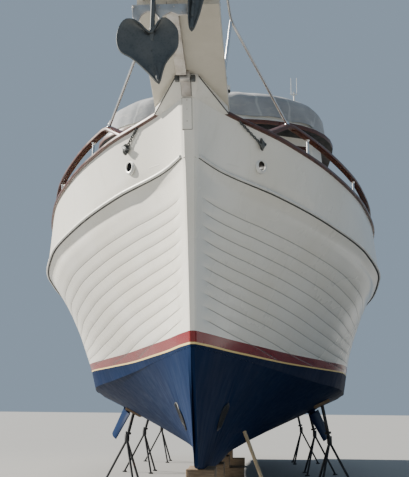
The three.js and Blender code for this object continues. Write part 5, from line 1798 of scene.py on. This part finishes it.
hatch = {"half": 290, "front": 1700, "length": 600, "low": 1892, "thick": 45, "slats": 7, "border": 30,
    "proud": 6}
hatchAft, hatchTop = hatch["front"] + hatch["length"], hatch["low"] + hatch["thick"]
lid = [boxPiece(boatPoint(-hatch["half"], hatch["front"], hatch["low"]),
    boatPoint(hatch["half"], hatchAft, hatchTop - hatch["proud"]), 0.005, 2)]
slatWidth = 2 * (hatch["half"] - hatch["border"]) / hatch["slats"]
for index in range(hatch["slats"]):
    x = -hatch["half"] + hatch["border"] + slatWidth * index
    lid.append(boxPiece(boatPoint(x + 2, hatch["front"] + hatch["border"], hatchTop - 10),
        boatPoint(x + slatWidth - 2, hatchAft - hatch["border"], hatchTop), 0.002, 2))
finishPiece(lid, "foredeckHatchLid", "varnish", body="forward_hatch_lid",
    replaces=("forward_hatch",), angle=35)

# Searchlight on its post: a dark yoke under a white dome

lamp = {
    "spot": (220, 2868),
    "z": 3660,
    "foot": 3276,
    "post": ((0, 0.036), (0.03, 0.036), (0.045, 0.018), (0.97, 0.016), (1, 0.016)),
    "dome": ((0, 0.034), (0.05, 0.041), (0.45, 0.041), (0.7, 0.036), (0.87, 0.025), (0.96, 0.013), (1, 0.004)),
    "yoke": ((0, 0.028), (0.2, 0.0415), (0.8, 0.0415), (1, 0.034)),
}


def lampPiece(profile, low, high, sides):
    return spunPiece(lamp[profile], boatPoint(*lamp["spot"], low), boatPoint(*lamp["spot"], high), sides)


lampParts = [lampPiece("post", lamp["foot"], lamp["z"] + 10, 20),
    lampPiece("dome", lamp["z"] + 34, lamp["z"] + 118, 28)]
finishPiece(lampParts, "searchlightHead", "gelcoat", replaces=("searchlight",))
lampYoke = lampPiece("yoke", lamp["z"] + 2, lamp["z"] + 35, 28)
finishPiece(lampYoke, "searchlightYoke", "rubber", slot="gelcoat")

# Canvas cover: one sheet drawn over the flybridge, slack between its ties, with a scalloped hem

cover = {
    "frontY": 2914,
    "aftY": 7766,
    "half": 1656,
    "bow": 1300,
    "hemZ": 3342,
    "levels": ((0, 2), (60, 0), (140, 4), (220, 10), (300, 22), (360, 80), (420, 165), (465, 262), (500, 350),
        (530, 430), (556, 540), (572, 720), (584, 900), (590, 1080), (592, 1260), (592, 1500)),
    "around": 220,
    "scallop": 0.020,
    "scallops": 26,
    "folds": 0.016,
    "pleats": 0.018,
    "sag": 0.014,
    "spineInset": 1450,
    "thick": 0.003,
}


def coverOutline(count):
    # Even points round the plan: a bowed front, straight sides and a square stern
    half, aft = cover["half"], cover["aftY"]
    right = []
    for index in range(25):
        angle = math.pi / 2 * index / 24
        bowed = cover["frontY"] + cover["bow"] * (1 - math.cos(angle) ** 0.9)
        right.append(Vector((half * math.sin(angle) ** 0.8, bowed)))
    right += [Vector((half, aft - 60)), Vector((half - 18, aft - 18)), Vector((half - 60, aft))]
    path = right + [Vector((-point.x, point.y)) for point in reversed(right[1:])] + [right[0]]
    return evenPoints(path, [step / count for step in range(count)])


def foldDepth(around, rise):
    # How far the slack cloth stands out, deepest at the hanging hem
    def wave(count, climb, start=0.0):
        return math.sin(2 * math.pi * count * around + rise * climb + start)

    hang = max(0, 1 - rise / 420)
    fold = wave(37, 0.004) * 0.45 + wave(61, -0.009, 1.3) * 0.3 + wave(23, 0.013, 0.7) * 0.5
    pleat = max(0, math.sin(2 * math.pi * 13 * around + 0.5 * math.sin(rise * 0.011))) ** 6
    return cover["folds"] * (0.35 + 0.65 * hang) * (fold + 0.8) + cover["pleats"] * pleat * (1 - hang * 0.4)


def makeCover():
    outline = coverOutline(cover["around"])
    levels = cover["levels"]
    spineFront, spineAft = cover["frontY"] + cover["spineInset"], cover["aftY"] - cover["spineInset"]
    deselectAll()
    bpy.ops.mesh.primitive_grid_add(x_subdivisions=cover["around"], y_subdivisions=len(levels) - 1, size=2)
    sheet = bpy.context.object
    for vertex in sheet.data.vertices:
        column = round((vertex.co.x + 1) / 2 * cover["around"]) % cover["around"]
        row = round((vertex.co.y + 1) / 2 * (len(levels) - 1))
        rise, inset = levels[row]
        edge = outline[column]
        spine = Vector((0, min(max(edge.y, spineFront), spineAft)))
        reach = (spine - edge).length
        inwards = (spine - edge) / max(reach, 1)
        place = spine if row == len(levels) - 1 else edge + inwards * min(inset, reach * inset / 1500)
        around = column / cover["around"]
        depth = foldDepth(around, rise)
        crown = max(0, rise - 430) / 160
        sag = -cover["sag"] * crown * (math.sin(2 * math.pi * 9 * around) ** 2)
        scallop = cover["scallop"] * abs(math.sin(math.pi * cover["scallops"] * around))
        outwards = -inwards * depth * (1 - crown * 0.5)
        lift = scallop * max(0, 1 - rise / 130) + sag + depth * 0.3 * crown
        vertex.co = boatPoint(place.x, place.y, cover["hemZ"] + rise) + Vector((*outwards, lift))
    mergeClose(sheet, 0.012)
    outwardFaces(sheet)
    if max(sheet.data.polygons, key=lambda polygon: polygon.center.z).normal.z < 0:
        flipFaces(sheet)
    return sheet


canvasSheet = makeCover()
cloth = canvasSheet.modifiers.new("cloth", "SOLIDIFY")
cloth.thickness = cover["thick"]
cloth.offset = 0
finishPiece(canvasSheet, "flybridgeCanvas", "canvas", replaces=("flybridge_cover",), angle=70)

# Propeller, rudder, fins, thruster and swim platform

propeller = {
    "shaft": 0.75,
    "middle": 6.0992,
    "hubEnds": (5.8, 6.1885),
    "blades": 4,
    "pitch": 0.52,
    "skew": 0.25,
    "radii": (0.045, 0.08, 0.12, 0.16, 0.20, 0.235, 0.265, 0.285, 0.297),
    "chords": (0.10, 0.125, 0.152, 0.175, 0.188, 0.182, 0.152, 0.108, 0.045),
    "thick": (0.022, 0.018, 0.0145, 0.012, 0.010, 0.0085, 0.007, 0.006, 0.004),
    "hub": ((0, 0.027), (0.55, 0.027), (0.57, 0.048), (0.62, 0.060), (0.9, 0.056), (0.91, 0.034), (0.95, 0.034),
        (0.96, 0.022), (1, 0.015)),
}


def bladePiece(turn):
    rings = []
    for radius, chord, thick in zip(propeller["radii"], propeller["chords"], propeller["thick"]):
        angle = math.atan(propeller["pitch"] / (2 * math.pi * radius))
        ring = []
        for around in turns(16):
            u = chord / 2 * math.cos(around)
            v = thick / 2 * math.sin(around) * (1 + 0.35 * math.cos(around))
            skew = propeller["skew"] * (radius / 0.3) ** 2
            theta = turn + (u * math.cos(angle) - v * math.sin(angle)) / radius + skew
            y = propeller["middle"] + u * math.sin(angle) + v * math.cos(angle)
            ring.append(Vector((radius * math.sin(theta), y, propeller["shaft"] + radius * math.cos(theta))))
        rings.append(ring)
    return loftPiece(rings)


hubStart, hubEnd = [(0, y, propeller["shaft"]) for y in propeller["hubEnds"]]
parts = [bladePiece(turn) for turn in turns(propeller["blades"])]
parts.append(spunPiece(propeller["hub"], hubStart, hubEnd, 32))
finishPiece(parts, "mainPropeller", "bronze", body="main_propeller", replaces=("propeller",), angle=50)

# Rows of the rudder are height, fore edge and aft edge
rudder = {
    "rows": ((0.413, 6.3695, 6.980), (0.442, 6.3695, 6.990), (0.60, 6.3695, 7.028), (0.86, 6.3695, 7.098),
        (0.945, 6.430, 7.085), (0.978, 6.455, 7.040)),
    "half": 0.026,
    "fullness": 2.6,
    "stockY": 6.5092,
    "stockEnds": (0.402, 1.158),
    "stock": ((0, 0.029), (0.02, 0.031), (0.98, 0.031), (1, 0.029)),
}
rings = []
for z, fore, aft in rudder["rows"]:
    flank = []
    for step in range(13):
        t = (1 - math.cos(math.pi * step / 12)) / 2
        half = rudder["half"] * rudder["fullness"] * math.sqrt(t) * (1 - t) + 0.002
        flank.append((min(half, rudder["half"]), between(fore, aft, t)))
    rings.append([Vector((x, y, z)) for x, y in flank] + [Vector((-x, y, z)) for x, y in reversed(flank)])
stockLow, stockHigh = [(0, rudder["stockY"], z) for z in rudder["stockEnds"]]
stock = spunPiece(rudder["stock"], stockLow, stockHigh, 24)
finishPiece([loftPiece(rings), stock], "rudderBlade", "antifouling", body="rudder_blade",
    replaces=("rudder",))

# Copies of the solids with eased edges: node, new name, finish, body, edge
easedNodes = (
    ("fin_port", "portFin", "antifouling", "port_fin", 0.004),
    ("fin_starboard", "starboardFin", "antifouling", "starboard_fin", 0.004),
    ("thruster_leg", "thrusterLeg", "bronze", "boat", 0.003),
    ("thruster_propeller", "thrusterBlades", "bronze", "bow_thruster", 0.0015),
    ("aft_cabin", "aftCabin", "gelcoat", "boat", 0.012),
    ("aft_cabin_door", "aftCabinDoor", "varnish", "aft_door", 0.004),
    ("helm_console", "helmConsole", "varnish", "boat", 0.006),
    ("helm_wheel", "helmWheel", "varnish", "steering_wheel", 0.003),
    ("windlass", "anchorWindlass", "galvanised", "boat", 0.004),
    ("mast", "mastFrame", "mastPaint", "boat", 0.006),
    ("boom", "boomSpar", "mastPaint", "boom_arm", 0.005),
    ("engine", "mainEngine", "enginePaint", "boat", 0.008),
)
for node, name, material, body, edge in easedNodes:
    eased = nodeCopy(node)
    bevelEdges(eased, edge, 2, 35)
    finishPiece(eased, name, material, body, replaces=(node,), angle=35)

# Bars over the thruster tunnel's mouths

tunnel = {"y": -4.4908, "z": 1.16, "radius": 0.125, "rim": 0.011, "bar": 0.008,
    "bars": (-0.075, -0.025, 0.025, 0.075)}
bottomTree = BVHTree.FromPolygons([vertex.co.copy() for vertex in hullBody.data.vertices],
    [tuple(polygon.vertices) for polygon in hullBody.data.polygons])


def bottomSpot(side, y, z):
    # The hull's outside at a height and distance aft, met from the side
    hit = bottomTree.ray_cast(Vector((side * 3, y, z)), Vector((-side, 0, 0)))[0]
    return hit + Vector((side * 0.004, 0, 0))


grilles = []
outside = tunnel["radius"] + tunnel["rim"]
for side in (1, -1):
    ring = [bottomSpot(side, tunnel["y"] + outside * math.cos(around), tunnel["z"] + outside * math.sin(around))
        for around in turns(28)]
    grilles.append(tubePiece(ring, tunnel["rim"], 10, 0, True))
    for offset in tunnel["bars"]:
        reach = math.sqrt(outside ** 2 - offset ** 2)
        ends = [bottomSpot(side, tunnel["y"] + offset, z) for z in (tunnel["z"] - reach, tunnel["z"] + reach)]
        grilles.append(rodPiece(*ends, tunnel["bar"], 12))
finishPiece(grilles, "tunnelGrilles", "darkPane", slot="bronze", angle=50)

# Teak slats on brackets

swim = {
    "fore": 7.562,
    "aft": 8.1605,
    "low": 2.056,
    "high": 2.1145,
    "half": 1.499,
    "slats": 9,
    "gap": 0.008,
    "squareSlats": 5,
    "cornerCut": 0.09,
    "bearers": (-1.35, -0.7, 0.7, 1.35),
    "bearerHalf": 0.03,
    "bearerThick": 0.0225,
    "brackets": (-1.1, 0, 1.1),
    "web": ((7.5085, 1.79), (7.5415, 2.055), (8.06, 2.055), (8.06, 2.035)),
    "webHalf": 0.012,
    "flange": ((7.5415, 2.045), (7.5415, 2.0775), (8.10, 2.0775), (8.10, 2.045)),
    "flangeHalf": 0.035,
    "bolts": (7.64, 7.84, 8.02),
}
slatWidth = (swim["aft"] - swim["fore"] + swim["gap"]) / swim["slats"]
slats = []
for index in range(swim["slats"]):
    start = swim["fore"] + slatWidth * index
    half = swim["half"] - swim["cornerCut"] * (max(0, index - swim["squareSlats"]) / 3) ** 2
    end = start + slatWidth - swim["gap"]
    slats.append(boxPiece((-half, start, swim["low"] + 0.022), (half, end, swim["high"]), 0.005))
for x in swim["bearers"]:
    slats.append(boxPiece((x - swim["bearerHalf"], swim["fore"] + 0.004, swim["low"]),
        (x + swim["bearerHalf"], swim["aft"] - 0.02, swim["low"] + swim["bearerThick"]), 0.004))
finishPiece(slats, "swimSlats", "swimTeak", replaces=("swim_platform",))
brackets = []
for x in swim["brackets"]:
    for shape in ("web", "flange"):
        half = swim[shape + "Half"]
        brackets.append(platePiece(swim[shape], 0, x - half, x + half, 0.002))
    for y in swim["bolts"]:
        brackets.append(boltHead((x - 0.024, y, 2.045), (0, 0, -1), 0.008, 0.005))
finishPiece(brackets, "swimBrackets", "steel")
print("underwater parts and platform made")

# Helm seat and settee

cushion = {"cuts": 13, "pull": 0.035, "rim": 0.62, "flatRim": 0.94, "edge": 0.28, "piping": 0.0055,
    "seams": (-0.97, 0.97), "seamReach": 0.985}


def cushionForm(low, high, thickAxis, flatSide):
    # A crowned pad whose sides pull in between the corners, flat on the side it rests on
    deselectAll()
    bpy.ops.mesh.primitive_cube_add(size=2)
    pad = bpy.context.object
    startEdit(pad)
    bpy.ops.mesh.subdivide(number_cuts=cushion["cuts"])
    endEdit()
    low, high = Vector(low), Vector(high)
    middle, half = (low + high) / 2, (high - low) / 2
    flatAxes = [axis for axis in range(3) if axis != thickAxis]

    def formed(a, b, c):
        crown = math.sqrt(max(0, (1 - a ** 4) * (1 - b ** 4)))
        bulge = 1 - cushion["pull"] * 0.5 * c * c
        sideA = a * (1 - cushion["pull"] * (1 - b * b) * abs(a)) * bulge
        sideB = b * (1 - cushion["pull"] * (1 - a * a) * abs(b)) * bulge
        tall = c * between(cushion["rim"] if c * flatSide < 0 else cushion["flatRim"], 1, crown)
        place = middle.copy()
        for axis, amount in zip((*flatAxes, thickAxis), (sideA, sideB, tall)):
            place[axis] += amount * half[axis]
        return place

    for vertex in pad.data.vertices:
        vertex.co = formed(vertex.co[flatAxes[0]], vertex.co[flatAxes[1]], vertex.co[thickAxis])
    bevelEdges(pad, half[thickAxis] * cushion["edge"], 3, 60)
    parts = [pad]
    for c in cushion["seams"]:
        seam = []
        for a0, b0, a1, b1 in ((-1, -1, 1, -1), (1, -1, 1, 1), (1, 1, -1, 1), (-1, 1, -1, -1)):
            for step in range(12):
                a, b = between(a0, a1, step / 12), between(b0, b1, step / 12)
                seam.append(formed(a * cushion["seamReach"], b * cushion["seamReach"], c))
        parts.append(tubePiece(seam, cushion["piping"], 8, 0, True))
    return joinPieces(parts)


def cushionPiece(name, low, high, thickAxis, flatSide):
    pad = cushionForm(low, high, thickAxis, flatSide)
    finishPiece(pad, name, "upholstery", angle=60)


# Boxes and pads are low and high corners. Their x starts at the seat's middle line
seat = {
    "x": -0.62,
    "post": -1.2708,
    "sole": 2.811,
    "postTop": 3.40,
    "postProfile": ((0, 0.13), (0.02, 0.13), (0.045, 0.10), (0.07, 0.044), (0.55, 0.044), (0.56, 0.036),
        (1, 0.036)),
    "boltReach": 0.11,
    "boxes": (((-0.20, -1.46, 3.396), (0.20, -1.06, 3.414), 0.006),
        ((-0.17, -1.050, 3.405), (0.17, -1.034, 3.93), 0.006),
        ((-0.17, -1.10, 3.396), (0.17, -1.034, 3.413), 0.005)),
    "cushion": ((-0.235, -1.488, 3.415), (0.235, -1.055, 3.512)),
    "back": ((-0.235, -1.125, 3.515), (0.235, -1.052, 3.955)),
}


def seatCorners(corners):
    return [(seat["x"] + x, y, z) for x, y, z in corners]


frameParts = [spunPiece(seat["postProfile"], (seat["x"], seat["post"], seat["sole"]),
    (seat["x"], seat["post"], seat["postTop"]), 28)]
for low, high, edge in seat["boxes"]:
    frameParts.append(boxPiece(*seatCorners((low, high)), edge))
frameParts += footBolts(Vector((seat["x"], seat["post"], seat["sole"] + 0.011)), seat["boltReach"],
    [step * 1.047 for step in range(6)], 0.008, 0.005)
finishPiece(frameParts, "helmSeatFrame", "steel", replaces=("helm_seat",))
cushionPiece("helmSeatCushion", *seatCorners(seat["cushion"]), 2, -1)
cushionPiece("helmSeatBack", *seatCorners(seat["back"]), 1, 1)

settee = {
    "inner": 0.703,
    "outer": 1.398,
    "fore": -0.5485,
    "aft": 1.547,
    "sole": 2.812,
    "plinthHigh": 2.90,
    "seatLow": 3.12,
    "seatHigh": 3.238,
    "backHigh": 3.655,
    "backBoard": 1.376,
    "panelStep": 0.68,
    "panelWidth": 0.6,
    "panelHeights": (2.93, 3.08),
    "padStep": 0.698,
    "padWidth": 0.692,
    "padBack": 1.368,
    "backPad": (1.262, 1.374),
}


def setteeBox(inner, low, high, edge, outer=settee["outer"], fore=settee["fore"], aft=settee["aft"]):
    return boxPiece((inner, fore, low), (outer, aft, high), edge)


bench = [setteeBox(settee["inner"] + 0.02, settee["sole"], settee["seatLow"], 0.006),
    setteeBox(settee["inner"] + 0.05, settee["sole"], settee["plinthHigh"], 0.004),
    setteeBox(settee["backBoard"], settee["seatLow"] - 0.01, settee["backHigh"], 0.006)]
for index in range(3):
    start = settee["fore"] + 0.07 + index * settee["panelStep"]
    bench.append(setteeBox(settee["inner"] + 0.008, *settee["panelHeights"], 0.005, settee["inner"] + 0.024,
        start, start + settee["panelWidth"]))
finishPiece(bench, "setteeBench", "varnish", replaces=("settee",))
for index in range(3):
    start = settee["fore"] + 0.003 + index * settee["padStep"]
    end, number = start + settee["padWidth"], str(index + 1)
    backInner, backOuter = settee["backPad"]
    cushionPiece("setteeCushion" + number, (settee["inner"], start, settee["seatLow"] + 0.001),
        (settee["padBack"], end, settee["seatHigh"]), 2, -1)
    cushionPiece("setteeBack" + number, (backInner, start, settee["seatHigh"] + 0.004),
        (backOuter, end, settee["backHigh"] - 0.006), 0, 1)
print("seats made")

# Keel blocks and jack stands

# Rows of the blocks are number, distance from the middle of the boat and height of the keel above the floor
blocks = {
    "rows": ((1, -4.55, 0.6485), (2, -1.65, 0.4998), (3, 1.55, 0.4126), (4, 4.55, 0.3599)),
    "across": (0.414, 0.134),
    "along": (0.145, 0.255),
    "gap": 0.003,
    "edge": 0.009,
    "warp": 0.006,
    "seed": 5,
}
noise.seed_set(blocks["seed"])  # the same wear on every run


def worn(piece, amount, scale=4.0):
    # Small uneven moves, none below the floor
    for vertex in piece.data.vertices:
        vertex.co = vertex.co + noise.noise_vector(vertex.co * scale) * amount
        vertex.co.z = max(vertex.co.z, 0)
    return piece


def timberPiece(y, half, low, high):
    halfX, halfY = half
    baulk = boxPiece((-halfX, y - halfY, low), (halfX, y + halfY, high), blocks["edge"])
    startEdit(baulk)
    bpy.ops.mesh.subdivide(number_cuts=2)
    endEdit()
    return worn(baulk, blocks["warp"])


for index, y, keel in blocks["rows"]:
    top = keel - blocks["gap"]
    stack = [timberPiece(y, blocks["across"], 0.001, top / 2), timberPiece(y, blocks["along"], top / 2, top)]
    finishPiece(stack, "keelTimbers" + str(index), "timber", replaces=("keel_block_" + str(index),))

# Node, side, distance aft, head and collar offsets from the middle line
standRows = (
    ("port_fore", 1, -0.4508, 1.65, 1.7655),
    ("port_middle", 1, 2.6492, 1.70, 1.8155),
    ("port_aft", 1, 5.6492, 1.65, 1.7655),
    ("starboard_fore", -1, -0.4508, 1.35, 1.455),
    ("starboard_middle", -1, 2.6492, 1.50, 1.605),
    ("starboard_aft", -1, 5.6492, 1.50, 1.605),
)
stand = {
    "collarZ": 0.78,
    "screw": 0.0245,
    "thread": 0.029,
    "turns": 46,
    "screwShare": 0.72,
    "nutShare": 0.80,
    "nut": ((0, 0.046), (0.1, 0.052), (0.9, 0.052), (1, 0.046)),
    "nutHalf": 0.018,
    "handleHalf": 0.15,
    "padThick": 0.034,
    "padDepth": 0.17,
    "padReach": 0.2,
    "padFace": 0.0008,
}
for name, side, y, headX, collarX in standRows:
    body = nodeCopy("jack_stand_" + name)
    bevelEdges(body, 0.003, 2, 40)
    top = max(vertex.co.z for vertex in body.data.vertices)
    hit, normal = bottomTree.ray_cast(Vector((side * headX, y, 0.3)), up(1))[:2]
    start = hit + normal * stand["padThick"]
    collar = Vector((side * collarX, y, stand["collarZ"]))
    steps = 2 * stand["turns"]
    thread = [(i / steps, stand["screw"] if i % 2 else stand["thread"]) for i in range(steps + 1)]
    nut = start.lerp(collar, stand["nutShare"])
    along = (start - collar).normalized() * stand["nutHalf"]
    handle = Vector((0, stand["handleHalf"], 0))
    parts = [body, spunPiece(thread, start.lerp(collar, stand["screwShare"]), start, 14),
        spunPiece(stand["nut"], nut - along, nut + along, 6), rodPiece(nut - handle, nut + handle, 0.009, 12)]
    standName = "jackStand" + "".join(word.capitalize() for word in name.split("_"))
    piece = finishPiece(parts, standName, "standPaint", replaces=("jack_stand_" + name,))
    piece.data.materials.append(finish["timber"])
    for polygon in piece.data.polygons:
        near = polygon.center.z > top - stand["padDepth"] and (polygon.center - hit).length < stand["padReach"]
        if near and polygon.area > stand["padFace"]:
            polygon.material_index = 1

# Pale pole shored between the ground and the bow's port side

shore = {"foot": (0.79, -2.5, 0.0), "under": (0.43, -2.5, 0.2), "radius": 0.025, "warp": 0.003}
hit = bottomTree.ray_cast(Vector(shore["under"]), up(1))[0]
foot = Vector(shore["foot"])
pole = spunPiece([(i / 12, shore["radius"] * (1 - 0.02 * (i % 3))) for i in range(13)],
    foot + up(0.012), hit - (hit - foot).normalized() * 0.004, 14)
finishPiece(worn(pole, shore["warp"]), "shorePole", "paleTimber", angle=50)
print("blocks and stands made")

# Finishes on the nodes that stay

slotFinish = {
    "teak": "varnish", "cushion": "upholstery", "stand_paint": "standPaint", "engine_paint": "enginePaint",
}
nodeFinish = {"hull": "hullPaint", "mast": "mastPaint", "boom": "mastPaint", "swim_platform": "swimTeak"}
for part in frame["record"]["subparts"]:
    name, slot = part["node"], part["material_slot"]
    chosen = finish[nodeFinish.get(name, slotFinish.get(slot, slot))]
    nodes[name].data.materials.clear()
    nodes[name].data.materials.append(chosen)

# Floor, camera and light

floor = {"size": 300.0, "middle": (0, 60, 0), "color": (0.31, 0.31, 0.305)}
deselectAll()
bpy.ops.mesh.primitive_plane_add(size=floor["size"], location=floor["middle"])
studioFloor = bpy.context.object
applyPlace(studioFloor)
studioFloor.name = "studioFloor"
floorMaterial, floorTree, floorSurface = newMaterial("floorPale", 0.85)
floorCloud = noiseValue(floorTree, objectCoordinates(floorTree), 0.6, 5)
setInput(floorTree, floorSurface, "Base Color",
    mixColors(floorTree, floorCloud, floor["color"], tuple(c * 1.06 for c in floor["color"])))
studioFloor.data.materials.append(floorMaterial)

addCamera()
addLights()
print("scene ready")
